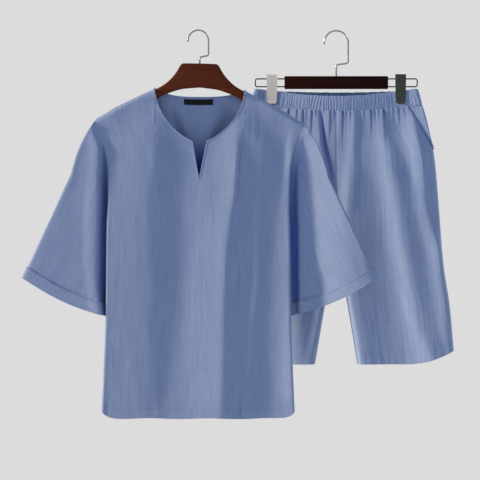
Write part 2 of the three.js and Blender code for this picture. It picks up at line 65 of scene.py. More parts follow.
CUFF = 25  # depth of the sleeve's cuff
TIP_X, TIP_Z = 380.5, -530.5  # outer end of the sleeve's hem
PIT_X, PIT_Y, PIT_Z = 200.8, 11, -612  # its inner end
HEM_BOW = 10  # how far it hangs below a straight line
ARM_SHARE = 0.12  # the share of it that hangs from the stretch over the hanger's arm
CROWN, CROWN_END = 7, 0.35  # how far a sleeve puffs out at the shoulder, and where down it that ends
RIM = 0.3  # how far round from its upper edge a sleeve is rounded
TUCK = 2.2  # how far its underside is tucked towards the body
LEVEL_FROM_Z, LEVEL_OVER = -195, 55  # its front leaves the armhole's level from here down
GAP_FROM_Z, GAP_OVER = -250, 80  # a gap opens between body and sleeve from here down
LEAST_REACH = 5
SLEEVE_ROUND, SLEEVE_LONG = 95, 230  # cloth to each unit round a sleeve and down it, for its grain

SHORTS_X = 299.7  # middle of the shorts
SHORTS_Y = 85  # the shorts hang this far behind the top
WAIST_HALF, WAIST_Z = 181, -125.6  # top of the waistband at the clips
BAND_DEEP = 35
BAND_HALF = 3.2  # half the thickness of the waistband where the clips pinch it
BAND_END = 6  # radius of the loop at each of its ends
BAND_BOW, BAND_BOW_X = 11, 125  # how far it bows out between the clips, and where that ends
BAND_LOOP_X = 155  # from here out its faces part again
BAND_FLARE = (0.985, 1.035)  # its width at the top and at the foot, in shares
FRONT_SAG, BACK_SAG, SAG_X = 11, 2, 130  # it hangs down between the clips
BAND_LIFT = 5  # and rises beyond them
BAND_CLOTH, BAND_PLEATS = 620, 66  # in half the loop: the run of its crowded grain, and its pleats
CROTCH_Z, LEG_HEM_Z = -465, -719
INSEAM_SPREAD = 46  # from the middle to the inner edge of a leg's hem
LEG_FLAT = 30  # as BODY_FLAT
LEG_CLOTH = 230  # width of a leg's panel, for its grain
POCKET_X, POCKET_TOP_Z, POCKET_BOTTOM_Z, POCKET_UNDER = 156, -158, -252, 14
GATHERS_Z = -165  # the gathers are full down to here
FOLDS_FROM_Z, FOLDS_OVER = -150, 40  # the long folds start here and are full this far below
BACK_SHIFT = 12  # the folds of the backs lie this much further across
FORK_Z = -385  # below this the middle seam turns under, towards the crotch
LEG_FULL = 130  # how far below the waistband a leg has its full depth
SIDE_RISE = 30  # how far a leg's hem rises at its outer side

HOOK_WIRE, LOOP_WIRE = 1.7, 1.4  # radius of the wires
HOOK_STEP, HOOK_ROUND, HOOK_TURN = 3, 5, 1.03  # its step's rise, its rounding, its bend's half turns
TOP_HOOK = (-56, HOOK_WIRE - 22, 22)  # where its step starts, the middle of its bend, its radius
CLIP_HOOK = (-67, -18.9, 26)
LOOP_HALF, LOOP_TOP_Z, LOOP_BOTTOM_Z, LOOP_BEND = 178, -97.8, -114.9, 5
BAR_HALF, BAR_THICK, BAR_TOP_Z, BAR_BOTTOM_Z = 113, 12, -92, -120
BAR_EDGE = ((0, 1.6), (0.5, 0.5), (1.6, 0))  # how far in from its end, and how much thinner there
CLIP_X, CLIP_WIDE, CLIP_TOP_Z, CLIP_BOTTOM_Z, CLIP_WALL = 140.5, 24, -87.6, -151.8, 1.7
CLIP_WAIST_Z, CLIP_TAPER_Z, CLIP_TAPER = -118, -126, 24  # its waist, and where and how far it tapers
CLIP_STRIP = 130  # about the length of its bent strip

CLOTH = 0.8  # thickness of the cloth that shows
HEM_CLOTH = 1.7  # where it is turned and sewn
HEM_DEEP = 20  # depth of the turned hems
NECK_HEM = 7  # depth of the turned edge round the neck
SLUB = 0.42  # height of the cloth's slubs

# Sections of the top's body: z, half width, and how far front and back stand off the middle.
TOP_SECTIONS = (
    (-206, 222, 21, 12),
    (-250, 206, 21.5, 14),
    (-300, 197, 22, 18),
    (-360, 195.5, 22.5, 21),
    (-430, 197.5, 23, 22.5),
    (-600, 199.5, 25, 24),
    (-740, 204, 27, 26),
    (-832, 208, 28, 27),
)

# Where the armhole's seam and the sleeve's underside run: z, and how far the front and the back
# stand off the middle. The front seam lies well back, behind the edge of the chest.
ARMHOLE = (
    (-200, 20, 20),
    (-235, 15, 20),
    (-280, 4, 20),
    (-340, -9, 18),
    (-400, -11, 12),
    (-430, -8, 8),
    (-612, -PIT_Y, PIT_Y),
    (-700, -3, 3),
    (-832, 10, -10),
)

# Edges of the shoulder hanger's board: x, upper edge, lower edge.
BOARD = (
    (0, -70, -121.5),
    (36, -70.4, -125.4),
    (41, -74, -126.5),
    (48, -86, -128.4),
    (56, -97.5, -131),
    (74, -115, -138),
    (97, -128.6, -150),
    (165, -162.5, -189),
    (222, -196, -221),
)

# Sections of the shorts: z, outer edge from the middle, front and back.
SHORTS_SECTIONS = (
    (-146, 185, 18, 18),
    (-185, 197, 19, 19),
    (-268, 214, 20, 20),
    (-347, 221.5, 20, 20),
    (-510, 234, 20, 20),
    (-608, 247, 20, 20),
    (-719, 256, 20, 20),
)

# ---- Folds ----
# Each fold is a list of rows (z, x, rise, left, right): at height z its crest is at x, stands
# out by rise, or in if that is negative, and fades over left and right of the crest.

FRONT_FOLDS = (
    ((-200, -118, 0.5, 60, 40), (-256, -112, 3.2, 62, 44), (-430, -116, 4.6, 62, 50),
     (-560, -118, 2.6, 62, 50), (-664, -120, 1, 60, 50), (-832, -126, 0.4, 60, 50)),
    ((-215, -30, 0, 50, 30), (-290, -36, -4, 44, 34), (-430, -40, -7, 44, 36), (-514, -42, -8, 44, 40),
     (-664, -50, -7, 40, 44), (-760, -58, -6, 36, 50), (-832, -60, -3, 40, 50)),
    ((-190, 96, 0.5, 24, 9), (-256, 79, 4.2, 28, 8), (-342, 76, 8, 34, 10), (-428, 66, 9, 38, 14),
     (-514, 58, 9, 40, 20), (-664, 54, 9, 44, 26), (-760, 54, 10, 44, 18), (-832, 50, 8, 44, 24)),
    ((-230, 84, 0, 8, 5), (-300, 80, 2, 10, 6), (-514, 58, 2.5, 14, 10), (-760, 52, 2.5, 16, 10),
     (-832, 50, 1, 16, 10)),
    ((-150, -96, 0, 70, 30), (-190, -96, 5, 75, 30), (-256, -100, 5, 80, 30), (-340, -100, 0, 80, 30)),
    ((-150, 88, 0, 30, 70), (-190, 86, 6, 30, 75), (-256, 84, 5, 30, 80), (-340, 80, 0, 30, 80)),
    ((-190, 128, 0, 9, 9), (-256, 126, 1.8, 12, 12), (-514, 127, 3, 12, 12), (-664, 112, 2.5, 12, 14),
     (-760, 106, 2.5, 12, 16), (-832, 106, 1, 12, 18)),
    ((-175, 182, 0, 40, 12), (-205, 184, -4, 42, 12), (-256, 181, -4.5, 44, 8), (-300, 179, -4.5, 40, 8),
     (-342, 174, -4.5, 38, 10), (-440, 162, -3.5, 34, 16), (-514, 156, -3, 30, 18),
     (-664, 150, -4, 26, 22), (-760, 146, -6, 26, 26), (-832, 146, -3, 30, 30)),
    ((-230, 200, 1.5, 9, 20), (-300, 200, 2.5, 10, 20), (-440, 200, 3, 12, 20), (-514, 201, 3.5, 16, 20),
     (-664, 204, 7, 20, 20), (-760, 207, 9, 24, 24), (-832, 211, 5, 26, 24)),
    ((-240, -200, 0, 6, 7), (-300, -200, 1.6, 6, 7), (-832, -208, 1.6, 6, 7)),
    ((-150, 103, 0, 5, 5), (-180, 104, 1.6, 5, 5), (-256, 100, 0.6, 6, 6), (-300, 98, 0, 6, 6)),
    ((-155, 117, 0, 5, 5), (-190, 119, 1.8, 5, 5), (-270, 116, 0.6, 6, 6), (-320, 114, 0, 6, 6)),
    ((-160, 132, 0, 5, 5), (-200, 136, 1.6, 6, 6), (-280, 136, 0.8, 6, 7), (-330, 134, 0, 6, 6)),
)
BACK_FOLDS = (
    ((-200, -120, 1, 40, 50), (-300, -120, 7, 36, 50), (-832, -128, 8, 34, 50)),
    ((-190, -16, 0, 20, 20), (-300, -22, 4, 34, 28), (-832, -30, 6, 40, 30)),
    ((-200, 66, 0.6, 30, 40), (-300, 70, 7, 36, 50), (-832, 84, 10, 40, 56)),
    ((-220, 168, 0.5, 20, 20), (-400, 164, 4, 26, 20), (-832, 170, 5, 30, 22)),
    ((-150, -3, 0, 7, 7), (-175, -3, 1.8, 6, 6), (-230, -4, 2.4, 7, 7), (-330, -8, 0, 12, 12)),
    ((-150, 64, 3, 20, 26), (-185, 60, 11, 17, 30), (-230, 40, 13, 13, 40), (-300, 34, 8, 20, 40),
     (-360, 34, 0, 30, 40)),
    ((-165, -64, 2, 9, 9), (-185, -57, 8, 10, 11), (-225, -45, 11, 12, 11), (-300, -36, 7, 14, 14),
     (-360, -36, 0, 14, 14)),
)

# ---- Small tools ----


def mix(a, b, t):
    return a + (b - a) * t


def clamp(t):
    return np.clip(t, 0, 1)


def ease(t):
    t = clamp(t)
    return t * t * (3 - 2 * t)


def curve(table, column, at):
    """A column of a table at any place along its first column, smooth and never overshooting."""
    rows = np.array(table, float)
    if rows[0, 0] > rows[-1, 0]:
        rows = rows[::-1]
    keys, values = rows[:, 0], rows[:, column]
    place = np.clip(at, keys[0], keys[-1])
    gap = np.diff(keys)
    slope = np.diff(values) / gap
    tangent = np.empty(len(keys))
    tangent[0], tangent[-1] = slope[0], slope[-1]
    before, after = slope[:-1], slope[1:]
    same = before * after > 0
    tangent[1:-1] = np.where(same, 2 * before * after / np.where(same, before + after, 1), 0)
    k = np.clip(np.searchsorted(keys, place) - 1, 0, len(gap) - 1)
    t = (place - keys[k]) / gap[k]
    bend = (1 - t) * (tangent[k] - slope[k]) - t * (tangent[k + 1] - slope[k])
    return mix(values[k], values[k + 1], t) + gap[k] * t * (1 - t) * bend


def bell(away, wide):
    """1 where away is 0, and about a third where it is wide."""
    return np.exp(-((away / wide) ** 2))


def folds(table, x, z):
    """How far a set of folds stands out at x and z."""
    total = np.zeros(np.broadcast(x, z).shape)
    for rows in table:
        middle, rise, left, right = (curve(rows, column, z) for column in (1, 2, 3, 4))
        away = x - middle
        total = total + rise * bell(away, np.where(away < 0, left, right))
    return total


def noise(u, v, seed):
    """Smooth noise between about -1 and 1, with one lattice cell to each unit of u and v."""
    u, v = np.broadcast_arrays(u, v)
    cell_u, cell_v = np.floor(u), np.floor(v)
    part_u, part_v = ease(u - cell_u), ease(v - cell_v)

    def corner(step_u, step_v):
        """A number between -1 and 1 that looks random, from a lattice corner and the seed."""
        value = np.sin((cell_u + step_u) * 127.1 + (cell_v + step_v) * 311.7 + seed * 74.7) * 43758.5453
        return 2 * (value - np.floor(value)) - 1

    upper = mix(corner(0, 0), corner(1, 0), part_u)
    lower = mix(corner(0, 1), corner(1, 1), part_u)
    return mix(upper, lower, part_v)


def unit(vectors):
    return vectors / np.maximum(np.linalg.norm(vectors, axis=-1, keepdims=True), 1e-9)


def joined(x, y, z):
    return np.stack(np.broadcast_arrays(x, y, z), axis=-1).astype(float)


def mirrored(values):
    """A rising list from 0, continued to its negatives."""
    values = np.asarray(values, float)
    return np.concatenate([-values[:0:-1], values])


def nearest(points, line):
    """How far each point of a grid is from the nearest point of a line."""
    flat = points.reshape(-1, 3)
    best = np.full(len(flat), 1e9)
    for place in line:
        best = np.minimum(best, ((flat - place) ** 2).sum(axis=1))
    return np.sqrt(best).reshape(points.shape[:2])


# ---- Meshes ----


def mesh_object(name, points, faces, material, uv=None, smooth_under=40, deep=None):
    """An object from points in millimetres and faces, smooth except over sharp edges. uv becomes
    its grain map, and deep, from 0 to 1, the map of painted shade, more the deeper a point lies in a
    crease."""
    mesh = bpy.data.meshes.new(name)
    mesh.from_pydata((np.asarray(points) * MM).tolist(), [], [tuple(face) for face in faces])
    mesh.polygons.foreach_set("use_smooth", [True] * len(mesh.polygons))
    mesh.set_sharp_from_angle(angle=math.radians(smooth_under))
    corners = np.empty(len(mesh.loops), dtype=np.int32)
    mesh.loops.foreach_get("vertex_index", corners)
    if uv is not None:
        layer = mesh.uv_layers.new(name="grain")
        layer.data.foreach_set("uv", (uv[corners] * MM).astype(np.float32).ravel())
    if deep is not None:
        layer = mesh.uv_layers.new(name="deep")
        layer.data.foreach_set("uv", np.repeat(deep[corners], 2).astype(np.float32))
    mesh.materials.append(material)
    obj = bpy.data.objects.new(name, mesh)
    bpy.context.scene.collection.objects.link(obj)
    return obj


def piece(obj, slot, *nodes):
    """Rides on the one body and stands for CAD nodes, whose parts it hides. Its slot is not used."""
    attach(obj, "root")
    if nodes:
        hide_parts(*nodes)
    return obj


def normals_of(points, flip, ring):
    """Unit normals of a grid of points: across x down, times flip."""
    if ring:
        across = np.roll(points, -1, axis=0) - np.roll(points, 1, axis=0)
    else:
        across = np.gradient(points, axis=0)
    down = np.gradient(points, axis=1)
    return unit(np.cross(across, down)) * flip


class Cloth:
    """A panel of cloth: a grid of points on its outer face, with its normals and its grain. The
    grain is a pair, how far across the cloth and how far down it each point lies."""

    def __init__(
        self, name, points, grain, flip=1, ring=False, relief=0, thick=CLOTH, lift=0, deep=0, painted_shade_inside=0
    ):
        zero = np.zeros(points.shape[:2])
        self.name, self.ring, self.flip = name, ring, flip
        self.grain = np.stack([zero + way for way in grain], axis=-1)
        # self.deep: painted shade on the outer face and on the inner face, each from 0 to 1.
        self.deep = [zero + share for share in (deep, painted_shade_inside)]
        normals = normals_of(points, flip, ring)
        self.points = points + normals * (zero + relief + lift)[..., None]
        self.normals = normals_of(self.points, flip, ring)
        self.thick = zero + thick

    def at(self, i, j):
        """Point and normal at any place of the grid, counted in columns i and rows j."""
        columns, rows = self.points.shape[:2]
        i, j = np.asarray(i, float), np.clip(np.asarray(j, float), 0, rows - 1.001)
        if not self.ring:
            i = np.clip(i, 0, columns - 1.001)
        low_i, low_j = np.floor(i).astype(int), np.floor(j).astype(int)
        part_i, part_j = (i - low_i)[..., None], (j - low_j)[..., None]

        def blend(grid):
            a, b = grid[low_i % columns, low_j], grid[(low_i + 1) % columns, low_j]
            c, d = grid[low_i % columns, low_j + 1], grid[(low_i + 1) % columns, low_j + 1]
            return mix(mix(a, b, part_i), mix(c, d, part_i), part_j)

        return blend(self.points), unit(blend(self.normals))

    def build(self, material):
        """The closed shell: outer face, inner face and rounded edges between them."""
        columns, rows = self.points.shape[:2]
        inner = self.points - self.normals * self.thick[..., None]

        def rim(j, towards):
            run = unit(self.points[:, j] - self.points[:, towards])
            middle = (self.points[:, j] + inner[:, j]) / 2
            return (middle + run * self.thick[:, j, None] * 0.4)[:, None]

        def both(outside, inside):
            return np.concatenate([outside, outside[:, -1:], inside[:, ::-1], outside[:, :1]], axis=1)

        loop = np.concatenate([self.points, rim(-1, -2), inner[:, ::-1], rim(0, 1)], axis=1)
        grain, deep = both(self.grain, self.grain), both(*self.deep)
        size = loop.shape[1]
        spans = columns if self.ring else columns - 1
        i, j = np.meshgrid(np.arange(spans), np.arange(size), indexing="ij")
        ahead, below = (i + 1) % columns, (j + 1) % size
        quads = np.stack([i * size + j, ahead * size + j, ahead * size + below, i * size + below], -1)
        quads = quads.reshape(-1, 4)
        faces = (quads if self.flip > 0 else quads[:, ::-1]).tolist()
        if not self.ring:
            for column, turned in ((0, self.flip > 0), (columns - 1, self.flip < 0)):
                start = column * size
                cap = [(j, j + 1, 2 * rows - j - 1, 2 * rows - j) for j in range(rows - 1)]
                cap.append((rows - 1, rows, rows + 1))
                cap.append((2 * rows, 2 * rows + 1, 0))
                for corners in cap:
                    ring = [start + corner for corner in corners]
                    faces.append(ring if turned else ring[::-1])
        return mesh_object(
            self.name, loop.reshape(-1, 3), faces, material, grain.reshape(-1, 2), deep=deep.ravel()
        )


def slubs(grain, height, seed):
    """The cloth's own unevenness: long soft ridges along the thread, and fainter wide waves."""
    across, down = grain
    fine = noise(across / 5.5, down / 70, seed) + 0.6 * noise(across / 9, down / 34, seed + 1)
    wide = noise(across / 26, down / 90, seed + 2)
    return height * (0.55 * fine + 1.2 * wide)


def loft(rings):
    """Points and faces of a solid through rings of equally many points, capped at both ends."""
    count = len(rings[0])
    faces = []
    for r in range(len(rings) - 1):
        for i in range(count):
            a, b = r * count + i, r * count + (i + 1) % count
            faces.append((a, b, b + count, a + count))
    faces.append(tuple(range(count - 1, -1, -1)))
    faces.append(tuple(range((len(rings) - 1) * count, len(rings) * count)))
    return np.concatenate(rings), faces


def tube(name, path, radius, material, sides=20):
    """A round wire along a path in an XZ plane, with rounded ends."""
    path = np.asarray(path, float)
    ahead = unit(np.gradient(path, axis=0))
    across = np.stack([ahead[:, 2], np.zeros(len(path)), -ahead[:, 0]], axis=-1)
    turn = np.linspace(0, 2 * math.pi, sides, endpoint=False)

    def ring(place, side, size):
        wide, deep = (size * np.cos(turn))[:, None], (size * np.sin(turn))[:, None]
        return place + side * wide + np.array([0, 1, 0]) * deep

    def dome(n, outwards):
        """Three rings that close an end, the smallest first."""
        rings = []
        for angle in np.radians([80, 55, 30]):
            centre = path[n] + outwards * ahead[n] * radius * math.sin(angle) * 0.8
            rings.append(ring(centre, across[n], radius * math.cos(angle)))
        return rings

    rings = dome(0, -1) + [ring(p, s, radius) for p, s in zip(path, across)] + dome(-1, 1)[::-1]
    points, faces = loft(rings)
    return mesh_object(name, points, faces, material)


def travel(points):
    """How far along a line of points each of them lies."""
    return np.concatenate([[0], np.cumsum(np.linalg.norm(np.diff(points, axis=0), axis=1))])


def rounded(corners, reach, count=8):
    """A polyline whose inner corners become curves that start and end reach away from them."""
    corners = [np.asarray(corner, float) for corner in corners]
    path = [corners[0]]
    for before, corner, after in zip(corners, corners[1:], corners[2:]):
        start = corner + unit(before - corner) * reach
        end = corner + unit(after - corner) * reach
        for t in np.linspace(0, 1, count):
            path.append((1 - t) ** 2 * start + 2 * t * (1 - t) * corner + t * t * end)
    return path + [corners[-1]]


# ---- Materials ----


class Nodes:
    """The node tree of a material or a world, with short ways to add and join nodes."""

    def __init__(self, owner, shader="Principled BSDF"):
        self.owner = owner
        owner.use_nodes = True
        self.tree = owner.node_tree
        self.shader = self.tree.nodes[shader]

    def feed(self, socket, value):
        """Gives a socket a fixed value, or what another socket puts out."""
        if isinstance(value, bpy.types.NodeSocket):
            self.tree.links.new(value, socket)
        else:
            socket.default_value = value

    def feed_all(self, node, values):
        for key, value in values.items():
            self.feed(node.inputs[key.replace("_", " ")], value)
        return node

    def add(self, kind, **values):
        return self.feed_all(self.tree.nodes.new(kind), values)

    def set(self, **values):
        self.feed_all(self.shader, values)

    def mesh_map(self, name):
        """One of the mesh's maps, grain or deep, the map of painted shade."""
        source = self.add("ShaderNodeUVMap")
        source.uv_map = name
        return source.outputs["UV"]

    def coordinates(self, kind, scale):
        """The grain map or the object's own coordinates, in units of scale millimetres."""
        own = kind == "object"
        vector = self.add("ShaderNodeTexCoord").outputs["Object"] if own else self.mesh_map(kind)
        mapping = self.add("ShaderNodeMapping", Vector=vector, Scale=[1 / (size * MM) for size in scale])
        return mapping.outputs["Vector"]

    def noise(self, kind, scale, detail=3.0, distortion=0.0):
        node = self.add("ShaderNodeTexNoise", Vector=self.coordinates(kind, scale), Scale=1.0)
        return self.feed_all(node, {"Detail": detail, "Distortion": distortion}).outputs["Fac"]

    def math(self, operation, a, b):
        node = self.add("ShaderNodeMath")
        node.operation = operation
        for socket, value in zip(node.inputs, (a, b)):
            self.feed(socket, value)
        return node.outputs[0]

    def total(self, *parts):
        """The sum of some values, each given with its weight."""
        whole = self.math("MULTIPLY", *parts[0])
        for part in parts[1:]:
            whole = self.math("ADD", whole, self.math("MULTIPLY", *part))
        return whole

    def spread(self, value, low, high, to_low=0.0, to_high=1.0):
        """A value stretched so that low becomes to_low and high becomes to_high."""
        limits = {"From Min": low, "From Max": high, "To Min": to_low, "To Max": to_high}
        return self.feed_all(self.add("ShaderNodeMapRange", Value=value), limits).outputs["Result"]

    def colours(self, share, low, high):
        """A mix of two colours, each fixed or taken from another node."""
        node = self.add("ShaderNodeMix")
        node.data_type = "RGBA"
        self.feed(node.inputs["Factor"], share)
        for socket, colour in ((node.inputs[6], low), (node.inputs[7], high)):
            self.feed(socket, (*colour, 1) if isinstance(colour, tuple) else colour)
        return node.outputs[2]

    def bump(self, height, depth, strength=1.0):
        """Bump from a height between 0 and 1 that stands for depth millimetres."""
        node = self.add("ShaderNodeBump", Height=height, Strength=strength, Distance=depth * MM)
        self.set(Normal=node.outputs["Normal"])


def new_material(name):
    return Nodes(bpy.data.materials.new(name))


CLOTH_DARK = (0.247, 0.303, 0.472)
CLOTH_LIGHT = (0.323, 0.380, 0.548)
CLOTH_PAINTED_SHADE = (0.050, 0.108, 0.480)  # painted shade: the deep blue down in the creases, where only other blue cloth lights them

# Sizes of the cloth's patterns in millimetres, across the warp and along it.
WARP_STREAKS, WEFT_STREAKS = (2.6, 62, 1), (34, 2.2, 1)
FLECKS, CLOUDS = (1.5, 6, 1), (70, 160, 1)
THREAD_GAP, THREAD_RUN = 0.62, 400
ONE_WAVE = 0.314  # the scale at which a wave texture repeats once in each unit


def cloth_material():
    """Plain weave with slubby threads: streaks along the warp, shorter ones along the weft."""
    nodes = new_material("slub_cloth")
    warp = nodes.noise("grain", WARP_STREAKS, 4.0)
    weft = nodes.noise("grain", WEFT_STREAKS)
    fleck, broad = (nodes.noise("grain", size, 2.0) for size in (FLECKS, CLOUDS))
    streaks = nodes.total((warp, 0.55), (weft, 0.2), (fleck, 0.15), (broad, 0.1))
    colour = nodes.colours(nodes.spread(streaks, 0.36, 0.64), CLOTH_DARK, CLOTH_LIGHT)
    # Painted shade: the deep map mixes in CLOTH_PAINTED_SHADE where creases and the inside of the top lie
    # in shade.
    deep = nodes.add("ShaderNodeSeparateXYZ", Vector=nodes.mesh_map("deep")).outputs["X"]
    nodes.set(Base_Color=nodes.colours(deep, colour, CLOTH_PAINTED_SHADE))
    nodes.set(Roughness=nodes.spread(warp, 0.3, 0.7, 0.74, 0.88))
    threads = []
    for direction, scale in (("X", (THREAD_GAP, THREAD_RUN, 1)), ("Y", (THREAD_RUN, THREAD_GAP, 1))):
        place = nodes.coordinates("grain", scale)
        wave = nodes.add("ShaderNodeTexWave", Vector=place, Scale=ONE_WAVE, Distortion=0.6)
        wave.bands_direction = direction
        threads.append(wave.outputs["Fac"])
    nodes.bump(nodes.total((warp, 0.8), (nodes.math("ADD", *threads), 0.2), (weft, 0.35)), 0.45, 0.8)
    nodes.set(Specular_IOR_Level=0.22, Sheen_Weight=0.1, Sheen_Roughness=0.5, Sheen_Tint=(1, 0.97, 0.93, 1))
    return nodes.owner


def thread_material():
    """Sewing thread, a shade darker than the cloth, with its twist."""
    nodes = new_material("sewing_thread")
    twist = nodes.noise("object", (0.9, 0.9, 0.9), 2.0)
    share = nodes.spread(twist, 0.35, 0.65)
    nodes.set(Base_Color=nodes.colours(share, (0.10, 0.135, 0.26), (0.16, 0.205, 0.36)))
    nodes.set(Roughness=nodes.spread(twist, 0.3, 0.7, 0.5, 0.7))
    nodes.bump(twist, 0.2)
    return nodes.owner


def label_material():
    """A black woven label: fine ribs across it and no lettering."""
    nodes = new_material("label_weave")
    ribs = nodes.noise("grain", (18, 0.5, 1), 2.0)
    mottle = nodes.noise("grain", (4, 4, 1))
    share = nodes.spread(nodes.math("ADD", ribs, mottle), 0.7, 1.3)
    nodes.set(Base_Color=nodes.colours(share, (0.0045, 0.0045, 0.0038), (0.012, 0.012, 0.010)))
    nodes.set(Roughness=nodes.spread(mottle, 0.3, 0.7, 0.5, 0.68))
    nodes.bump(ribs, 0.25)
    nodes.set(Specular_IOR_Level=0.2)
    return nodes.owner


def wood_material(name, dark, light, red):
    """Varnished wood with grain along X, fine pores and slightly uneven colour."""
    nodes = new_material(name)
    bands = nodes.noise("object", (150, 14, 7), 4.0, 0.6)
    pores = nodes.noise("object", (24, 1.2, 1.1))
    clouds = nodes.noise("object", (90, 60, 60), 2.0)
    share = nodes.spread(nodes.total((bands, 0.7), (pores, 0.3)), 0.3, 0.7)
    grain = nodes.colours(share, dark, light)
    nodes.set(Base_Color=nodes.colours(nodes.spread(clouds, 0.45, 0.8), grain, red))
    nodes.set(Roughness=nodes.spread(pores, 0.3, 0.7, 0.34, 0.46))
    nodes.bump(pores, 0.12, 0.5)
    nodes.set(Coat_Weight=0.03, Coat_Roughness=0.3, Specular_IOR_Level=0.06)
    return nodes.owner


def metal_material(name, dark, light, rough, metallic=1.0):
    """Plated or painted metal with faint brush marks and wear."""
    nodes = new_material(name)
    brush = nodes.noise("object", (1.2, 1.2, 16))
    wear = nodes.noise("object", (7, 7, 7), 4.0)
    share = nodes.spread(nodes.math("ADD", brush, wear), 0.7, 1.3)
    nodes.set(Base_Color=nodes.colours(share, dark, light))
    nodes.set(Roughness=nodes.spread(wear, 0.3, 0.75, rough, rough + 0.14))
    nodes.bump(brush, 0.04, 0.5)
    nodes.set(Metallic=metallic)
    return nodes.owner


CLOTH_LOOK = cloth_material()
THREAD_LOOK = thread_material()
LABEL_LOOK = label_material()
WOOD_LOOK = wood_material(
    "reddish_wood", dark=(0.074, 0.0135, 0.0045), light=(0.150, 0.030, 0.0095), red=(0.130, 0.031, 0.013)
)
DARK_WOOD_LOOK = wood_material(
    "dark_wood", dark=(0.012, 0.0018, 0.0006), light=(0.030, 0.005, 0.0014), red=(0.020, 0.0028, 0.001)
)
CHROME_LOOK = metal_material("bright_plating", (0.46, 0.36, 0.27), (0.60, 0.47, 0.36), 0.14)
WIRE_LOOK = metal_material("dark_plating", (0.055, 0.048, 0.036), (0.11, 0.096, 0.072), 0.35)
# The clips are alike in steel: each has its reflection painted into a matt colour, bright on the left clip
# and dark on the right.
CLIP_BRIGHT_REFLECTION_LOOK = metal_material("clip_painted_bright_reflection", (0.72, 0.62, 0.49), (0.86, 0.74, 0.585), 0.5, 0.0)
CLIP_DARK_REFLECTION_LOOK = metal_material("clip_painted_dark_reflection", (0.026, 0.028, 0.012), (0.044, 0.046, 0.020), 0.5, 0.0)

# ---- The shoulder hanger ----


def board_edge(column, x):
    """Height of the board's upper edge, in column 1 of its table, or its lower edge, in column 2."""
    return curve(BOARD, column, np.abs(x)) - HANGER_TILT * x


def board_top(x):
    return board_edge(1, x)


def arm_half(x):
    return mix(BOARD_HALF, ARM_HALF, ease((np.abs(x) - NECK_X) / (SHOULDER_X - NECK_X)))


def wood_ring(x, half, top, bottom, upper, lower):
    """A section of wood in the plane at x, with rounded upper and lower edges."""
    round_ = min(upper, half)
    points = []
    for side, centre, radius, height, start in (
        (1, top - upper, round_, upper, 0),
        (-1, top - upper, round_, upper, 90),
        (-1, bottom + lower, lower, lower, 180),
        (1, bottom + lower, lower, lower, 270),
    ):
        for angle in np.radians(np.linspace(start, start + 90, 7)):
            across = side * (half - radius) + radius * math.cos(angle)
            points.append((x, across, centre + height * math.sin(angle)))
    return np.array(points)


def build_top_hanger():
    """The carved board: its arms are rounder on top than its middle."""
    edge, round_from = 4, 62
    rings = []
    for x in np.linspace(-ARM_END_X, ARM_END_X, 121):
        half = arm_half(x)
        upper = mix(edge, half, ease((abs(x) - round_from) / (NECK_X - round_from)))
        rings.append(wood_ring(x, half, board_top(x), board_edge(2, x), upper, edge))
    points, faces = loft(rings)
    points[:, 0] += TOP_X
    piece(mesh_object("shoulder_hanger", points, faces, WOOD_LOOK), "wood", "top_hanger")


def hook(name, stem_x, foot_z, jog_z, centre_z, radius, place):
    """A stem that steps to the right, rises, and turns over to the left about x 0."""
    step = [(stem_x, 0, jog_z), (radius, 0, jog_z + HOOK_STEP)]
    angles = np.linspace(0, HOOK_TURN * math.pi, 48)[1:]
    bend = [(radius * math.cos(a), 0, centre_z + radius * math.sin(a)) for a in angles]
    stem = rounded([(stem_x, 0, foot_z), *step, (radius, 0, centre_z)], HOOK_ROUND)
    path = np.array(stem + bend, float) + np.array(place)
    return tube(name, path, HOOK_WIRE, CHROME_LOOK)


# ---- The top ----


def top_edge(face, x):
    """Height of the upper edge of the front (-1) or back (1), on the column that starts at x."""
    out = np.abs(x) / NECK_X
    neck_point = board_top(np.sign(x) * NECK_X) + SEAT

    def front(share):
        return (1 - clamp(share) ** NECK_ROUND) ** (1 / NECK_ROUND)

    if face > 0:
        neck = mix(NECK_BACK_Z, neck_point, clamp(out) ** 3)
    else:
        neck = mix(neck_point, NECK_FRONT_Z, front(out))
        notch_top = mix(neck_point, NECK_FRONT_Z, front(NOTCH_X / NECK_X))
        notch = mix(NOTCH_Z, notch_top, clamp(np.abs(x) / NOTCH_X) ** NOTCH_BEND)
        neck = np.where(np.abs(x) < NOTCH_X, notch, neck)
    return np.where(out >= 1, board_top(x) + SEAT, neck)


def top_surface(face, f, v):
    """The outer face of the top. f runs across it from -1 to 1. v runs 0 to 1 over the hanger's
    arm, to 2 at the height of the underarm and to 3 at the hem."""
    start = f * SHOULDER_X
    edge, seam, over = top_edge(face, start), board_top(start) + SEAT, arm_half(start) + SEAT
    first = np.arccos(1 - np.minimum((seam - edge) / over, 1))
    turn = mix(first, math.pi / 2, np.minimum(v, 1))
    fall = NECK_TURN * np.minimum(v, 1) * first / (math.pi / 2)
    near = edge - over * (np.cos(first) - np.cos(turn)) - fall
    upper = mix(near, UNDERARM_Z, clamp(v - 1))
    hem = HEM_Z + HEM_CORNERS * np.abs(f) ** 16 + HEM_WAVE * np.sin(5 * f + 1) ** 2
    z = np.where(v > 2, mix(UNDERARM_Z, hem, v - 2), upper)

    x = f * curve(TOP_SECTIONS, 1, z)
    sway = TOP_X * (1 - ease((SWAY_FROM_Z - z) / SWAY_OVER))
    inset = np.sqrt(np.maximum(1 - np.abs(f) ** (BODY_FLAT if face < 0 else BACK_FLAT), 0))
    drape = ease((np.minimum(seam, board_top(NECK_X)) - z) / DRAPE)
    fades_in = ease((seam - z) / SHOULDER_FADE)
    fold = folds(FRONT_FOLDS if face < 0 else BACK_FOLDS, x, z) * fades_in
    near = over * np.sin(turn)
    middle = mix(near, curve(TOP_SECTIONS, 2 if face < 0 else 3, z), drape) + fold
    side = mix(near, curve(ARMHOLE, 1 if face < 0 else 2, z), fades_in)
    return joined(x + sway, face * mix(side, middle, inset), z)
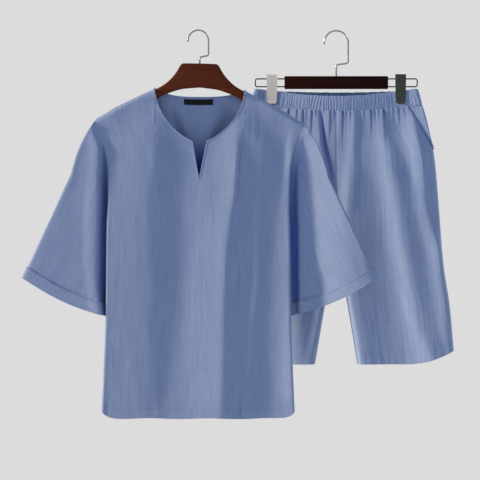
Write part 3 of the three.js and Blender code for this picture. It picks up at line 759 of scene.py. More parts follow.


# What differs between the sleeves. The hem's outer end lies at y = tip_y, and its middle bows back.
# The front follows a line down it (z, x), and at distances outwards from that line it lies as far
# forward as front says (distance, y). From gap outwards of the armhole's seam it comes forward to
# that, over no more than reach. Painted shade, a deeper blue, is strongest at crease outwards from
# the seam, by deep (z, share, half width).
SLEEVES = (
    {
        "name": "left", "side": -1, "tip_y": -10, "back": 18, "gap": 2, "reach": 24, "crease": 9,
        "deep": ((-245, 0, 11), (-330, 0.4, 11), (-430, 0.5, 11), (-612, 0.4, 11)),
        "line": ((-200, 230), (-225, 222), (-256, 216), (-300, 219), (-363, 226), (-470, 228), (-557, 221),
                 (-612, 214)),
        "front": ((-20, -25), (0, -25.5), (8, -24.5), (24, -21), (45, -20), (100, -19), (150, -18)),
    },
    {
        "name": "right", "side": 1, "tip_y": -30, "back": 18, "gap": 7, "reach": 16, "crease": 3,
        "deep": ((-240, 0, 22), (-300, 0.3, 22), (-370, 0.45, 16), (-430, 0.8, 11), (-612, 0.75, 10)),
        "line": ((-206, 224), (-256, 237), (-331, 249), (-449, 250), (-500, 254), (-535, 266), (-612, 271)),
        "front": ((-40, -8), (-20, -11), (-4, -15), (0, -17), (60, -42.5), (78, -46), (96, -47),
                  (110, -45)),
    },
)


def armhole_x(z):
    """How far from the top's middle the sleeve's seam, and below it the sleeve's underside, runs."""
    underarm_x = curve(TOP_SECTIONS, 1, np.float64(UNDERARM_Z))
    below = mix(underarm_x, PIT_X, clamp((UNDERARM_Z - z) / (UNDERARM_Z - PIT_Z)))
    return np.where(z > UNDERARM_Z, curve(TOP_SECTIONS, 1, z), below)


def sleeve_front(sleeve, x, z):
    """Where the front of a sleeve lies at x from the top's middle and height z."""
    seam_x = armhole_x(z)
    line = curve(sleeve["line"], 1, z)
    seam_y = -curve(ARMHOLE, 1, z)
    level = mix(seam_y, curve(sleeve["front"], 1, x - line), ease((LEVEL_FROM_Z - z) / LEVEL_OVER))
    gap = sleeve["gap"] * ease((GAP_FROM_Z - z) / GAP_OVER)
    reach = np.clip(line - seam_x, LEAST_REACH, sleeve["reach"]) - gap
    return mix(seam_y, level, ease((x - seam_x - gap) / reach))


def sleeve_surface(sleeve, r, m):
    """The outer face of a sleeve. r runs round it, from -2 at the underarm over the front to 0 at
    the shoulder and over the back to 2. m runs 0 to 1 down to the cuff's top, and 2 is the hem."""
    side = sleeve["side"]
    around = np.abs(r)
    start = np.where(
        (r < 0)[..., None], top_surface(-1, side + 0 * r, around), top_surface(1, side + 0 * r, around)
    )
    q = ARM_SHARE * np.minimum(around, 1) + (1 - ARM_SHARE) * clamp(around - 1)
    bow = np.sin(math.pi * q)
    hem_y = mix(sleeve["tip_y"], PIT_Y, q) + sleeve["back"] * bow**0.75
    hem = joined(side * mix(TIP_X, PIT_X, q) + TOP_X * (1 - q), hem_y, mix(TIP_Z, PIT_Z, q) - HEM_BOW * bow)
    length = np.linalg.norm(start - hem, axis=-1)
    cuff_at = 1 - CUFF / length
    t = np.where(m <= 1, m * cuff_at, mix(cuff_at, 1, m - 1))
    crown = CROWN * np.sin(math.pi * np.minimum(t / CROWN_END, 1)) * (1 - q) ** 2
    points = mix(start, hem, t[..., None]) + joined(side * crown, 0, crown / 2)

    edge = sleeve["tip_y"] * t
    before = sleeve_front(sleeve, side * (points[..., 0] - TOP_X), points[..., 2])
    before = mix(edge, before, np.sqrt(1 - (1 - clamp(around / RIM)) ** 2))
    before = mix(start[..., 1], before, ease(t * length / 16))
    points[..., 1] = np.where(r < 0, before, points[..., 1])
    points[..., 0] -= side * TUCK * np.sqrt(np.sin(math.pi * clamp(t))) * q**8
    return points


def sleeve_painted_shade(sleeve, points):
    """How much painted shade each point of a sleeve's front gets, by how deep in the crease beside the body
    it lies.
    """
    out = sleeve["side"] * (points[..., 0] - TOP_X) - armhole_x(points[..., 2])
    share, wide = curve(sleeve["deep"], 1, points[..., 2]), curve(sleeve["deep"], 2, points[..., 2])
    return share * bell(out - sleeve["crease"], wide)


def even_rows(count):
    """Places from 0 to 1, somewhat closer together towards 1."""
    s = np.linspace(0, 1, count)
    return mix(s, np.sin(math.pi / 2 * s), 0.5)


def top_columns():
    """Where the top's columns stand, as shares of its half width, closer round the notch."""
    near = np.linspace(0, NOTCH_X, 9)
    t = np.linspace(0, 1, 30)
    neck = (NECK_X * np.cos(0.4 * math.pi * t**1.8) ** (2 / NECK_ROUND))[::-1]
    t = np.linspace(0, 1, 34)[1:]
    outer = NECK_X + (SHOULDER_X - NECK_X) * np.sin(math.pi / 2 * t)
    between = np.linspace(NOTCH_X, neck[0], 4)[1:-1]
    return mirrored(np.concatenate([near, between, neck, outer]) / SHOULDER_X)


def hem_thickness(distance):
    """Cloth that doubles where it is turned up, with distance counted from the edge."""
    return mix(HEM_CLOTH, CLOTH, ease((distance - HEM_DEEP + 1) / 1.5))


def hem_pucker(along, distance, seed):
    """Small gathers that a hem's stitching pulls into the cloth."""
    waves = noise(along / 5, distance / 60, seed) + 0.6 * noise(along / 11, distance / 50, seed + 3)
    return 0.28 * waves * bell(distance - HEM_DEEP * 0.6, 16) - 0.25 * bell(distance - HEM_DEEP, 1.6)


def build_top():
    """The front and the back, with a rolled edge round the neck."""
    f = top_columns()[:, None]
    v = np.concatenate([np.linspace(0, 1, 9), 1 + even_rows(58)[1:], np.linspace(2, 3, 100)[1:]])[None]
    panels = []
    for name, node, face, seed in (("body_front", "top_front", -1, 11), ("body_back", "top_back", 1, 12)):
        points = top_surface(face, f, v)
        start, z = f * SHOULDER_X, points[..., 2]
        from_hem = z - points[:, -1:, 2]
        line = points[np.abs(f[:, 0]) <= NECK_X / SHOULDER_X + 1e-9, 0]
        neck = nearest(points, line)
        grain = (start, -z)
        relief = slubs(grain, SLUB, seed) * ease(np.minimum(neck, from_hem) / 30) * (1 - np.abs(f) ** 20)
        relief = relief + hem_pucker(start, from_hem, seed)
        relief = relief + 0.8 * bell(neck, 2.0) - 0.22 * bell(neck - 6, 1.2)
        thick = hem_thickness(np.minimum(from_hem, neck + (HEM_DEEP - NECK_HEM)))
        # Painted shade on the inner face: a deeper blue down inside the top, below the neck.
        inside = ease((SHADE_INSIDE_FROM_Z - z) / SHADE_INSIDE_OVER) * ease((z - SHADE_INSIDE_TO_Z) / SHADE_INSIDE_FADE)
        panel = Cloth(name, points, grain, flip=face, relief=relief, thick=thick, painted_shade_inside=inside)
        panels.append(panel)
        obj = piece(panel.build(CLOTH_LOOK), "cloth", node)
    return panels


def build_sleeves():
    """Both sleeves, each a ring of cloth with a turned-up cuff round its end."""
    half = np.concatenate([np.linspace(0, 1, 7), 1 + even_rows(40)[1:]])
    r = mirrored(half)[:-1, None]
    m = np.concatenate([np.linspace(0, 1, 84), np.linspace(1, 1.9, 8)[1:]])[None]
    cuffs = []
    for index, sleeve in enumerate(SLEEVES):
        name, flip = sleeve["name"], -sleeve["side"]
        rr, mm = np.broadcast_arrays(r, m)
        points = sleeve_surface(sleeve, rr, mm)
        grain = (rr * SLEEVE_ROUND, mm * SLEEVE_LONG)
        relief = slubs(grain, SLUB, 21 + index) * ease(mm / 0.15) * (1 - np.abs(rr / 2) ** 20)
        # Painted shade: a deeper blue in the crease beside the body, on the front only.
        deep = sleeve_painted_shade(sleeve, points) * (rr < 0)
        cloth = Cloth(f"sleeve_{name}_cloth", points, grain, flip, ring=True, relief=relief, deep=deep)
        obj = piece(cloth.build(CLOTH_LOOK), "cloth", f"sleeve_{name}")

        rr, mm = np.broadcast_arrays(r, np.linspace(1, 2, 14)[None])
        points = sleeve_surface(sleeve, rr, mm)
        grain = (rr * SLEEVE_ROUND, mm * SLEEVE_LONG)
        relief = 0.2 * noise(rr * 14, mm * 2, 31 + index) + 0.5 * bell(mm - 1, 0.12)
        cuff = Cloth(f"turned_cuff_{name}", points, grain, flip, True, relief, thick=1.5, lift=1.9)
        cuffs.append(cuff)
        obj = piece(cuff.build(CLOTH_LOOK), "cloth", f"cuff_{name}")
    return cuffs


def build_label():
    """A blank label inside the back of the neck, with a sewn end on each side."""
    middle, half = -3, 31
    s = np.linspace(-1, 1, 40)[:, None]
    v = np.concatenate([np.linspace(0.6, 1, 7), np.linspace(1, 1.03, 4)[1:]])[None]
    points = top_surface(1, (middle + half * s) / SHOULDER_X, v)
    grain = (half * s, -points[..., 2])
    relief = 0.15 * noise(s * 9, v * 12, 41) - 0.3 * bell(np.abs(s) - 0.955, 0.02)
    label = Cloth("blank_label", points, grain, flip=-1, relief=relief, thick=0.5, lift=HEM_CLOTH + 0.8)
    obj = piece(label.build(LABEL_LOOK), "label", "neck_label")


# ---- The shorts, about their own middle ----

# Folds of the legs' fronts, in the same rows as the folds above. The backs have them turned round.
RIGHT_LEG_FOLDS = (
    ((-165, 92, 2, 12, 12), (-209, 100, 4, 16, 16), (-253, 112, 8, 22, 22), (-307, 121, 12, 26, 26),
     (-362, 134, 15, 29, 36), (-417, 142, 15, 27, 40), (-526, 161, 15, 26, 42), (-635, 181, 15, 26, 40),
     (-679, 197, 16, 29, 34), (-719, 208, 16, 31, 30)),
    ((-165, 162, 3.5, 13, 8), (-192, 168, 6, 17, 10), (-253, 180, 10, 22, 12), (-307, 187, 11, 23, 12),
     (-362, 192, 11, 22, 12), (-417, 204, 11, 22, 12), (-471, 220, 12, 24, 12), (-580, 239, 13, 28, 12),
     (-635, 247, 12, 31, 12), (-719, 256, 9, 26, 10)),
    ((-240, 206, 0, 12, 8), (-307, 216, 5, 13, 8), (-362, 221, 6, 13, 8), (-417, 227, 5, 12, 8),
     (-500, 233, 3, 12, 8), (-560, 240, 0, 12, 8)),
    ((-165, 39, 2.2, 9, 7), (-209, 38, 3.6, 10, 10), (-253, 36, 4.4, 12, 16), (-307, 34, 4, 14, 20),
     (-362, 30, 2, 16, 20), (-400, 24, 0, 16, 20)),
    ((-165, 50, -1.6, 4, 6), (-209, 48, -2, 4, 7), (-253, 47, -1.4, 5, 8), (-300, 47, 0, 7, 9)),
    ((-250, 26, 0, 14, 40), (-362, 26, 9, 16, 48), (-471, 24, 12, 20, 60), (-580, 30, 13, 20, 64),
     (-719, 48, 12, 16, 60)),
)
# The left leg's crease: a fold inwards, which also gets painted shade.
LEG_CREASES = (
    ((-158, -37, -2, 3, 4), (-181, -33, -4, 3, 4), (-209, -30, -4.4, 3, 4), (-242, -26, -4.8, 3, 4),
     (-286, -17, -3.6, 3, 5), (-340, -9, 0, 6, 7)),
)
LEFT_LEG_FOLDS = (
    ((-158, -44, 1.6, 9, 4), (-181, -41, 2.4, 10, 4), (-209, -38, 3, 11, 4), (-242, -34, 4, 13, 4),
     (-286, -25, 4.6, 16, 6), (-362, -14, 4, 18, 12), (-420, -10, 0, 18, 14)),
    *LEG_CREASES,
    ((-230, -96, 2, 20, 20), (-350, -92, 9, 28, 26), (-500, -86, 12, 28, 30), (-719, -80, 12, 26, 28)),
    ((-190, -150, 3, 14, 14), (-362, -168, 9, 26, 24), (-580, -190, 11, 28, 28), (-719, -205, 10, 28, 26)),
    ((-500, -8, 0, 12, 4), (-580, -22, 7, 20, 5), (-719, -46, 8, 22, 5)),
)
CREST = 1.2  # roundness of the gathers' crests
# Crests of the gathers under the waistband: x, rise, and where each has faded out.
GATHERS = (
    (-168, 1.6, -220), (-149, 2.4, -235), (-128, 1.8, -220), (-106, 2.6, -250), (-88, 1.6, -215),
    (-75, 2.4, -240), (-66, 1.2, -200), (-56, 2.8, -240), (-47, 1.4, -200), (-16, 2.6, -250),
    (-7, 1.4, -205), (10, 3.0, -255), (19, 1.4, -205), (28, 1.6, -215), (58, 1.4, -200),
    (72, 2.6, -235), (80, 1.6, -210), (89, 1.2, -195), (100, 3.4, -270), (112, 1.2, -195),
    (121, 1.6, -215), (133, 2.0, -220), (146, 1.4, -200), (171, 1.4, -205), (186, 2.0, -235),
)


def band_half(x):
    """How far the waistband's outer face stands off the middle."""
    out = np.abs(x)
    end_x = WAIST_HALF - BAND_END
    bow = BAND_BOW * np.maximum(1 - (out / BAND_BOW_X) ** 2, 0) ** 1.5
    loop = (BAND_END - BAND_HALF) * ease((out - BAND_LOOP_X) / (end_x - BAND_LOOP_X))
    flat = BAND_HALF + bow + loop
    return np.where(out > end_x, np.sqrt(np.maximum(BAND_END**2 - (out - end_x) ** 2, 0)), flat)


def band_sag(face, x):
    return np.where(np.asarray(face) < 0, FRONT_SAG, BACK_SAG) * np.maximum(1 - (x / SAG_X) ** 2, 0)


def band_top(face, x):
    """Upper edge of the waistband."""
    return WAIST_Z - band_sag(face, x) + BAND_LIFT * ease((np.abs(x) - SAG_X) / 50)


def band_foot(face, x):
    """Its lower edge, which sags less than the upper one."""
    return band_top(face, x) - BAND_DEEP + 0.3 * band_sag(face, x)


def outer_x(z):
    return curve(SHORTS_SECTIONS, 1, z)


def inseam_x(z):
    return INSEAM_SPREAD * clamp((CROTCH_Z - z) / (CROTCH_Z - LEG_HEM_Z)) ** 0.9


def gathers(x, z, below):
    """Small pleats that start pinched at the waistband and open out below it: how far they stand
    out, and how deep the notches between them are."""
    total = np.zeros(np.broadcast(x, z).shape)
    notches = np.zeros(total.shape)
    for middle, rise, end in GATHERS:
        away = x - middle * (1 + 0.06 * (WAIST_Z - BAND_DEEP - z) / 100)
        lasts = ease((z - end) / (GATHERS_Z - end))
        fall = (np.hypot(away, CREST) - CREST) / np.where(away < 0, 7, 3)
        total = total + 0.75 * rise * lasts * np.exp(-fall)
        notch = np.exp(-(((away - 3.4) / 2.1) ** 2) - np.maximum(below, 0) / (6 * rise + 6))
        notches = notches + rise**1.3 * notch
    return total - 1.2 * notches, notches


def leg_form(side, face, x, z):
    """How far one leg's front or back stands off the middle, folds included, and how much painted
    shade each place gets, the deeper in a crease the more."""
    outer, inner = outer_x(z), inseam_x(z)
    closed = ease((FORK_Z - z) / (FORK_Z - CROTCH_Z))
    share = mix(-np.sin(math.pi / 2 * closed), 1, clamp((x - inner) / (outer - inner)))
    round_ = np.sqrt(np.maximum(1 - np.abs(share) ** (LEG_FLAT if face < 0 else BACK_FLAT), 0))
    full = curve(SHORTS_SECTIONS, 2 if face < 0 else 3, z) * round_
    band = band_half(x / outer * WAIST_HALF)
    table = RIGHT_LEG_FOLDS if side * face < 0 else LEFT_LEG_FOLDS
    across = -face * side * x
    below = band_foot(face, x) - z
    fold = folds(table, across + (0 if face < 0 else BACK_SHIFT), z) * ease((FOLDS_FROM_Z - z) / FOLDS_OVER)
    pleats, notches = gathers(across, z, below)
    fold = fold + pleats * ease(below / 6 + 0.4)
    # Painted shade: a deeper blue in the gathers' notches and along the left leg's crease.
    creases = notches / 7 - folds(LEG_CREASES if table is LEFT_LEG_FOLDS else (), across, z) / 8
    return mix(band, full, ease(below / LEG_FULL)) + fold * round_, np.minimum(creases, 0.8)


def leg_half(side, face, x, z):
    return leg_form(side, face, x, z)[0]


def front_edge_x(z):
    """The outer edge of the front, cut away along the slant of the pocket."""
    t = (POCKET_TOP_Z - z) / (POCKET_TOP_Z - POCKET_BOTTOM_Z)
    return np.where(t < 1, mix(POCKET_X, outer_x(POCKET_BOTTOM_Z), clamp(t)), outer_x(z))


def leg_surface(side, face, u, v):
    """The outer face of one leg's front or back. u runs from the middle or the inseam to the
    outer edge. v runs 0 to 1 to the end of the pocket, to 2 at the crotch and to 3 at the hem."""
    edge_x = front_edge_x if face < 0 else outer_x
    top = band_foot(face, u * edge_x(np.float64(POCKET_TOP_Z))) + 1
    z = np.where(v < 2, mix(POCKET_BOTTOM_Z, CROTCH_Z, v - 1), mix(CROTCH_Z, LEG_HEM_Z, v - 2))
    z = np.where(v < 1, mix(top, POCKET_BOTTOM_Z, v), z)
    x = mix(inseam_x(z), edge_x(z), u)
    rise = SIDE_RISE * clamp((u - 0.5) / 0.5) ** 2 * clamp(v - 2)
    y = face * leg_half(side, face, x, z)
    return joined(side * x + SHORTS_X, y + SHORTS_Y, z + rise)


LEG_COLUMNS, POCKET_ROWS = 140, 34  # of a leg panel's grid, the rows down to the pocket's end
SLANT_COLUMN = LEG_COLUMNS - 8.5  # where the pocket's slant edge is stitched


def build_leg_panel(name, side, end, face):
    """One leg's front or back. Its upper edge is pinched where the waistband gathers it."""
    s = np.linspace(0, 1, LEG_COLUMNS)
    u = mix(s, np.sin(math.pi / 2 * s), 0.75)[:, None]
    stretches = ((0, 1, POCKET_ROWS), (1, 2, 62), (2, 3, 72))
    v = np.concatenate([np.linspace(*stretch)[int(stretch[0] > 0) :] for stretch in stretches])[None]
    points = leg_surface(side, face, u, v)
    x, z = side * (points[..., 0] - SHORTS_X), points[..., 2]
    from_hem, below = z - points[:, -1:, 2], points[:, :1, 2] - z
    grain, seed = (side * u * LEG_CLOTH, -z), 50 + side + 3 * face
    edges = (1 - clamp(u) ** 16) * ease(u / 0.03)
    relief = slubs(grain, SLUB, seed) * edges + hem_pucker(x, from_hem, seed)
    relief = relief + 0.5 * noise(x / 4.2, below / 60, seed + 5) * bell(below, 12)
    if face < 0:
        relief = relief - 0.6 * bell(x - inseam_x(z), 1.4)
    deep, thick = leg_form(side, face, x, z)[1], hem_thickness(from_hem)
    panel = Cloth(f"leg_{end}_{name}", points, grain, side * face, relief=relief, thick=thick, deep=deep)
    obj = piece(panel.build(CLOTH_LOOK), "cloth", f"shorts_{end}_{name}")
    return panel


def build_facing(name, side):
    """The cloth that shows in a slant pocket. It starts under the front's cut edge and comes
    forward to close the pocket's outer end."""
    down = np.linspace(0, 1, 24)[None]
    u = (1 - (1 - np.linspace(0, 1, 30)) ** 2.2)[:, None]
    top_x = mix(POCKET_X - POCKET_UNDER, WAIST_HALF + 7, u)
    z = mix(band_foot(-1, top_x) + 1, POCKET_BOTTOM_Z + 1, down)
    slant = front_edge_x(z)
    x = mix(slant - POCKET_UNDER, outer_x(z), u)
    out = clamp((x - slant) / (outer_x(z) - slant))
    under_edge = leg_half(side, -1, np.minimum(x, slant), z) + 2.5 * out
    forward = mix(under_edge, leg_half(side, -1, x, z), out**12)
    points = joined(side * x + SHORTS_X, SHORTS_Y - np.maximum(forward, 0.6), z)
    grain = (side * x, -z)
    # Painted shadow: a thin deeper blue line on the facing just outside the front's cut edge.
    facing = Cloth(
        f"pocket_facing_{name}", points, grain, -side, relief=slubs(grain, 0.15, 61 + side), thick=1.0,
        lift=mix(-1.2, -2.4, ease(down / 0.1)) * (1 - out**3), deep=0.7 * bell(x - slant - 0.5, 2.2),
    )
    obj = piece(facing.build(CLOTH_LOOK), "cloth", f"pocket_{name}")


def build_legs():
    """Both legs. Returns the panels of their fronts and of their backs."""
    fronts, backs = [], []
    for name, side in (("left", -1), ("right", 1)):
        fronts.append(build_leg_panel(name, side, "front", -1))
        backs.append(build_leg_panel(name, side, "back", 1))
        build_facing(name, side)
    return fronts, backs


def build_waistband():
    """One loop round the elastic, with a ruffled upper edge and pleats all round. The clips press
    it flat."""
    columns, on_flat = 880, 0.88
    r = (np.arange(columns) / columns * 2 - 1)[:, None]
    v = np.linspace(0, 1, 15)[None]
    face = np.where(r < 0, -1, 1)
    along = np.where(r < 0, r * 2 + 1, 1 - r * 2)
    out, end_x = np.abs(along), WAIST_HALF - BAND_END
    angle = math.pi / 2 * clamp((out - on_flat) / (1 - on_flat))
    round_x = np.sign(along) * (end_x + BAND_END * np.sin(angle))
    x = np.where(out < on_flat, along / on_flat * end_x, round_x)
    half = np.where(out < on_flat, band_half(x), BAND_END * np.cos(angle))
    from_clip = np.abs(np.abs(x) - CLIP_X)
    ruffle = 0.6 * noise(r * 120, 0, 71) * ease((from_clip - 8) / 8)
    z = mix(band_top(face, x) + ruffle, band_foot(face, x), v)
    points = joined(x * mix(*BAND_FLARE, v) + SHORTS_X, face * half + SHORTS_Y, z)
    wander = 0.5 * noise(r * 30, v * 1.8, 72)
    pleat = np.cos(2 * math.pi * (r * BAND_PLEATS + wander)) + 0.8 * noise(r * 130, v * 2.6, 73)
    free = ease((from_clip - CLIP_WIDE / 2) / 10)
    puff = np.sin(math.pi * clamp(v * 0.94 + 0.03)) ** 0.5
    relief = (0.42 * pleat - 0.3) * mix(0.25, 1, puff) * mix(0.12, 1, free)
    relief = relief + 0.7 * puff * free - 0.4 * bell(v - 0.07, 0.03) * free
    grain = (r * BAND_CLOTH, v * BAND_DEEP)
    band = Cloth("gathered_waistband", points, grain, -1, ring=True, relief=relief, thick=1.9)
    obj = piece(band.build(CLOTH_LOOK), "cloth", "waistband")
    return band


# ---- The clip hanger, about its own middle ----


def build_clip_hanger():
    """A dark bar with a hook over its middle, and at each end a wire loop that carries a clip."""
    place = np.array([SHORTS_X, SHORTS_Y, 0])
    ends = [(step - BAR_HALF, inset) for step, inset in BAR_EDGE]
    rings = []
    for x, inset in ends + [(-x, inset) for x, inset in reversed(ends)]:
        rings.append(wood_ring(x, BAR_THICK / 2 - inset, BAR_TOP_Z - inset, BAR_BOTTOM_Z + inset, 2, 2))
    points, faces = loft(rings)
    piece(mesh_object("bar_of_dark_wood", points + place, faces, DARK_WOOD_LOOK), "dark_wood", "clip_bar")
    piece(hook("clip_hanger_hook", 0, BAR_TOP_Z, *CLIP_HOOK, place), "steel", "clip_hook")
    # Each clip takes the matt colour of its painted reflection.
    for name, side, look in (("left", -1, CLIP_BRIGHT_REFLECTION_LOOK), ("right", 1, CLIP_DARK_REFLECTION_LOOK)):
        inner, outer = side * BAR_HALF, side * (LOOP_HALF - LOOP_WIRE)
        upper, lower = ([(x, 0, z) for x in (inner, outer)] for z in (LOOP_TOP_Z, LOOP_BOTTOM_Z))
        path = np.array(rounded(upper + lower[::-1], LOOP_BEND)) + place
        piece(tube(f"wire_loop_{name}", path, LOOP_WIRE, WIRE_LOOK, 16), "steel", f"clip_wire_{name}")
        piece(clip(f"sprung_clip_{name}", side * CLIP_X, look), "clip_steel", f"clip_{name}")


def clip(name, middle, look):
    """A bent strip: over the upper wire, and down both faces of the waistband. It narrows towards
    its lips, which turn outwards."""
    outer = BAND_HALF + 0.3 + CLIP_WALL
    front = [(0, outer + 0.8, CLIP_BOTTOM_Z), (0, outer, CLIP_BOTTOM_Z + 7), (0, outer, CLIP_TOP_Z)]
    profile = np.array(rounded(front + [(0, -y, z) for _, y, z in reversed(front)], 2.2, 6))
    steps = np.linspace(0, 1, 120)
    length = travel(profile)
    y, z = (np.interp(steps, length / length[-1], profile[:, axis])[None] for axis in (1, 2))
    s = np.linspace(-1, 1, 9)[:, None]
    waist = 0.96 - 0.04 * bell(z - CLIP_WAIST_Z, 9) - 0.13 * ease((CLIP_TAPER_Z - z) / CLIP_TAPER)
    waist = waist - 0.2 * clamp((CLIP_BOTTOM_Z + 3.5 - z) / 3.5) ** 2
    points = joined(middle + s * CLIP_WIDE / 2 * waist + SHORTS_X, y + SHORTS_Y, z)
    grain = (s * CLIP_WIDE / 2, steps[None] * CLIP_STRIP)
    return Cloth(name, points, grain, -1, thick=CLIP_WALL).build(look)


# ---- Stitches ----


class Stitches:
    """Many short stitches gathered into one mesh."""

    def __init__(self, name):
        self.name, self.points, self.faces = name, [], []

    def along(self, panel, i, j, pitch=3.2, length=2.1, wide=0.5, proud=0.22):
        """A row of stitches on a panel, along a path given in its columns i and rows j."""
        place, normal = panel.at(i, j)
        gone = travel(place)

        def spot(values, at):
            return np.array([np.interp(at, gone, values[:, axis]) for axis in range(3)])

        for start in np.arange(pitch / 2, gone[-1] - length, pitch):
            first, last, out = spot(place, start), spot(place, start + length), unit(spot(normal, start))
            ahead = last - first
            side = unit(np.cross(ahead, out)) * wide / 2
            crest = (first + last) / 2 + out * proud
            base = len(self.points)
            foot = (first - out * 0.1, last - out * 0.1, 1, 0)
            for near, far, share, step in (foot, (crest, crest, 0.7, 0.25)):
                across, shift = side * share, ahead * step
                self.points += [near + across - shift, near - across - shift]
                self.points += [far - across + shift, far + across + shift]
            for corners in STITCH_FACES:
                self.faces.append([base + corner for corner in corners])

    def build(self):
        obj = mesh_object(self.name, np.array(self.points), self.faces, THREAD_LOOK, smooth_under=70)
        return piece(obj, "cloth")


STITCH_FACES = ((3, 2, 1, 0), (4, 5, 6, 7), (0, 1, 5, 4), (1, 2, 6, 5), (2, 3, 7, 6), (3, 0, 4, 7))
CUFF_SEWN_ROW, BAND_SEWN_ROW = 1.6, 12.6  # the row of each ring's grid that its stitches follow


def rows_at(panel, distance):
    """For each column of a panel, the row that lies a distance in millimetres above its end."""
    count = panel.points.shape[1]
    columns = panel.points[:, ::-1]
    return count - 1 - np.array([np.interp(distance, travel(line), np.arange(count)) for line in columns])


def stitch_hems(rows, panels):
    for panel in panels:
        rows.along(panel, np.arange(panel.points.shape[0]), rows_at(panel, HEM_DEEP))


def stitch_ring(rows, ring, row, **sizes):
    columns = np.arange(ring.points.shape[0] + 1)
    rows.along(ring, columns, np.full(len(columns), row), **sizes)


def stitch_top(panels, cuffs):
    rows = Stitches("top_stitching")
    stitch_hems(rows, panels)
    for cuff in cuffs:
        stitch_ring(rows, cuff, CUFF_SEWN_ROW, pitch=6.5, length=4.6, wide=1.3)
    rows.build()


def stitch_shorts(fronts, backs, band):
    """Hems, the slant edges of the pockets and the foot of the waistband."""
    rows = Stitches("shorts_stitching")
    for panel in fronts:
        stitch_hems(rows, [panel])
        down = np.arange(1, POCKET_ROWS)
        rows.along(panel, np.full(len(down), SLANT_COLUMN), down)
    stitch_hems(rows, backs)
    stitch_ring(rows, band, BAND_SEWN_ROW, pitch=3.6)
    rows.build()


# ---- The set ----

build_top_hanger()
top_hook = hook("shoulder_hanger_hook", TOP_X, board_top(0), *TOP_HOOK, (0, 0, 0))
piece(top_hook, "steel", "top_hook")
body = build_top()
cuffs = build_sleeves()
build_label()
leg_fronts, leg_backs = build_legs()
band = build_waistband()
build_clip_hanger()
stitch_top(body, cuffs)
stitch_shorts(leg_fronts, leg_backs, band)

# ---- Stage, light and camera ----

# How the names of the pieces of the shorts and their hanger begin.
SHORTS_WORDS = (
    "leg_", "pocket_facing", "gathered_waistband", "shorts_", "bar_of", "clip_hanger", "wire_loop", "sprung"
)
FLOOR_Z, FLOOR_RADII = -1750, (50, 4000)  # its inner disc and the ring round that
CAMERA_AT, CAMERA_LENS = (0.08966, -5.733, -0.44935), 200


def build_floor():
    """A pale round floor far below the set."""
    sides = 96
    turn = np.linspace(0, 2 * math.pi, sides, endpoint=False)
    rings = [joined(size * np.cos(turn), size * np.sin(turn), FLOOR_Z) for size in FLOOR_RADII]
    faces = [(sides + i, sides + (i + 1) % sides, (i + 1) % sides, i) for i in range(sides)]
    faces.append(range(sides))
    nodes = new_material("pale_floor")
    cloudy = nodes.noise("object", (900, 900, 900))
    nodes.set(Base_Color=nodes.colours(cloudy, (0.70, 0.70, 0.70), (0.74, 0.74, 0.74)), Roughness=0.9)
    floor = mesh_object("floor", np.concatenate(rings), faces, nodes.owner)


def add_sun(name, azimuth, elevation, strength, colour, soft):
    """A sun in the direction given by its azimuth and elevation in degrees."""
    side, up = math.radians(azimuth), math.radians(elevation)
    towards = Vector((-math.sin(side) * math.cos(up), -math.cos(side) * math.cos(up), math.sin(up)))
    light = bpy.data.lights.new(name, "SUN")
    light.energy, light.color, light.angle = strength, colour, math.radians(soft)
    obj = bpy.data.objects.new(name, light)
    obj.rotation_euler = towards.to_track_quat("Z", "Y").to_euler()
    bpy.context.scene.collection.objects.link(obj)
    return obj


def group_of(name, objects):
    group = bpy.data.collections.new(name)
    for obj in objects:
        group.objects.link(obj)
    return group


# Suns: azimuth round from the front towards the left, elevation, strength, colour and width.
KEY = (82.5, 17, 3.6, (1.0, 0.88, 0.68), 8)
SHORTS_KEY = (78, 17, 3.6 * 1.15, (0.95, 0.88, 0.73), 10)
BACK_LIGHT = (-140, 25, 1.1, (1.0, 0.95, 0.88), 20)
ROOM_SEEN, ROOM_LOW, ROOM_HIGH = (0.716, 0.716, 0.716), (0.335, 0.448, 0.665), (0.350, 0.420, 0.500)


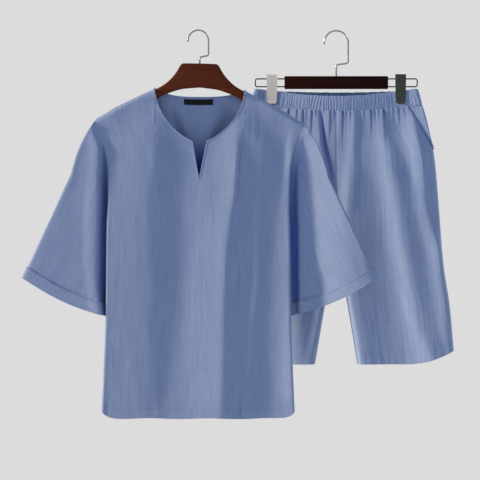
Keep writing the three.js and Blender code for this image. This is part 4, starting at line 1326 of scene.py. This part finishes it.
def light_set():
    """A soft key from the left, almost along the cloth. The shorts have a key of their own, because
    the top, which hangs in front of them, throws no shade on them."""
    shown = [obj for obj in bpy.context.scene.objects if obj.type == "MESH"]
    behind = [obj for obj in shown if obj.name.startswith(SHORTS_WORDS)]
    others = [obj for obj in shown if obj not in behind]
    for name, sun, lit in (("key", KEY, others), ("shorts_key", SHORTS_KEY, behind)):
        light = add_sun(name, *sun)
        light.light_linking.receiver_collection = group_of(f"lit_by_{name}", lit)
        light.light_linking.blocker_collection = group_of(f"shade_{name}", lit)
    add_sun("back_light", *BACK_LIGHT)


def build_world():
    """A pale grey room: seen as neutral, and a little cool where it lights the set."""
    nodes = Nodes(bpy.data.worlds.new("studio"), "Background")
    nodes.set(Color=(*ROOM_SEEN, 1))
    direction = nodes.add("ShaderNodeTexCoord").outputs["Generated"]
    height = nodes.add("ShaderNodeSeparateXYZ", Vector=direction).outputs["Z"]
    blend = nodes.add("ShaderNodeValToRGB", Fac=height)
    for stop, colour in zip(blend.color_ramp.elements, (ROOM_LOW, ROOM_HIGH)):
        stop.color = (*colour, 1)
    lit = nodes.add("ShaderNodeBackground", Color=blend.outputs["Color"])
    either = nodes.add("ShaderNodeMixShader", Fac=nodes.add("ShaderNodeLightPath").outputs["Is Camera Ray"])
    nodes.feed(either.inputs[1], lit.outputs[0])
    nodes.feed(either.inputs[2], nodes.shader.outputs[0])
    nodes.feed(nodes.tree.nodes["World Output"].inputs["Surface"], either.outputs[0])
    bpy.context.scene.world = nodes.owner


def add_camera():
    """In front of the middle of the set, far enough off to see it almost flat."""
    camera = bpy.data.cameras.new("camera")
    camera.lens, camera.sensor_width, camera.clip_end = CAMERA_LENS, 36, 100
    obj = bpy.data.objects.new("camera", camera)
    obj.location = CAMERA_AT
    obj.rotation_euler = (math.radians(90), 0, 0)
    bpy.context.scene.collection.objects.link(obj)
    bpy.context.scene.camera = obj


build_floor()
light_set()
build_world()
add_camera()
bpy.context.scene.view_settings.view_transform = "Standard"

bpy.context.view_layer.update()
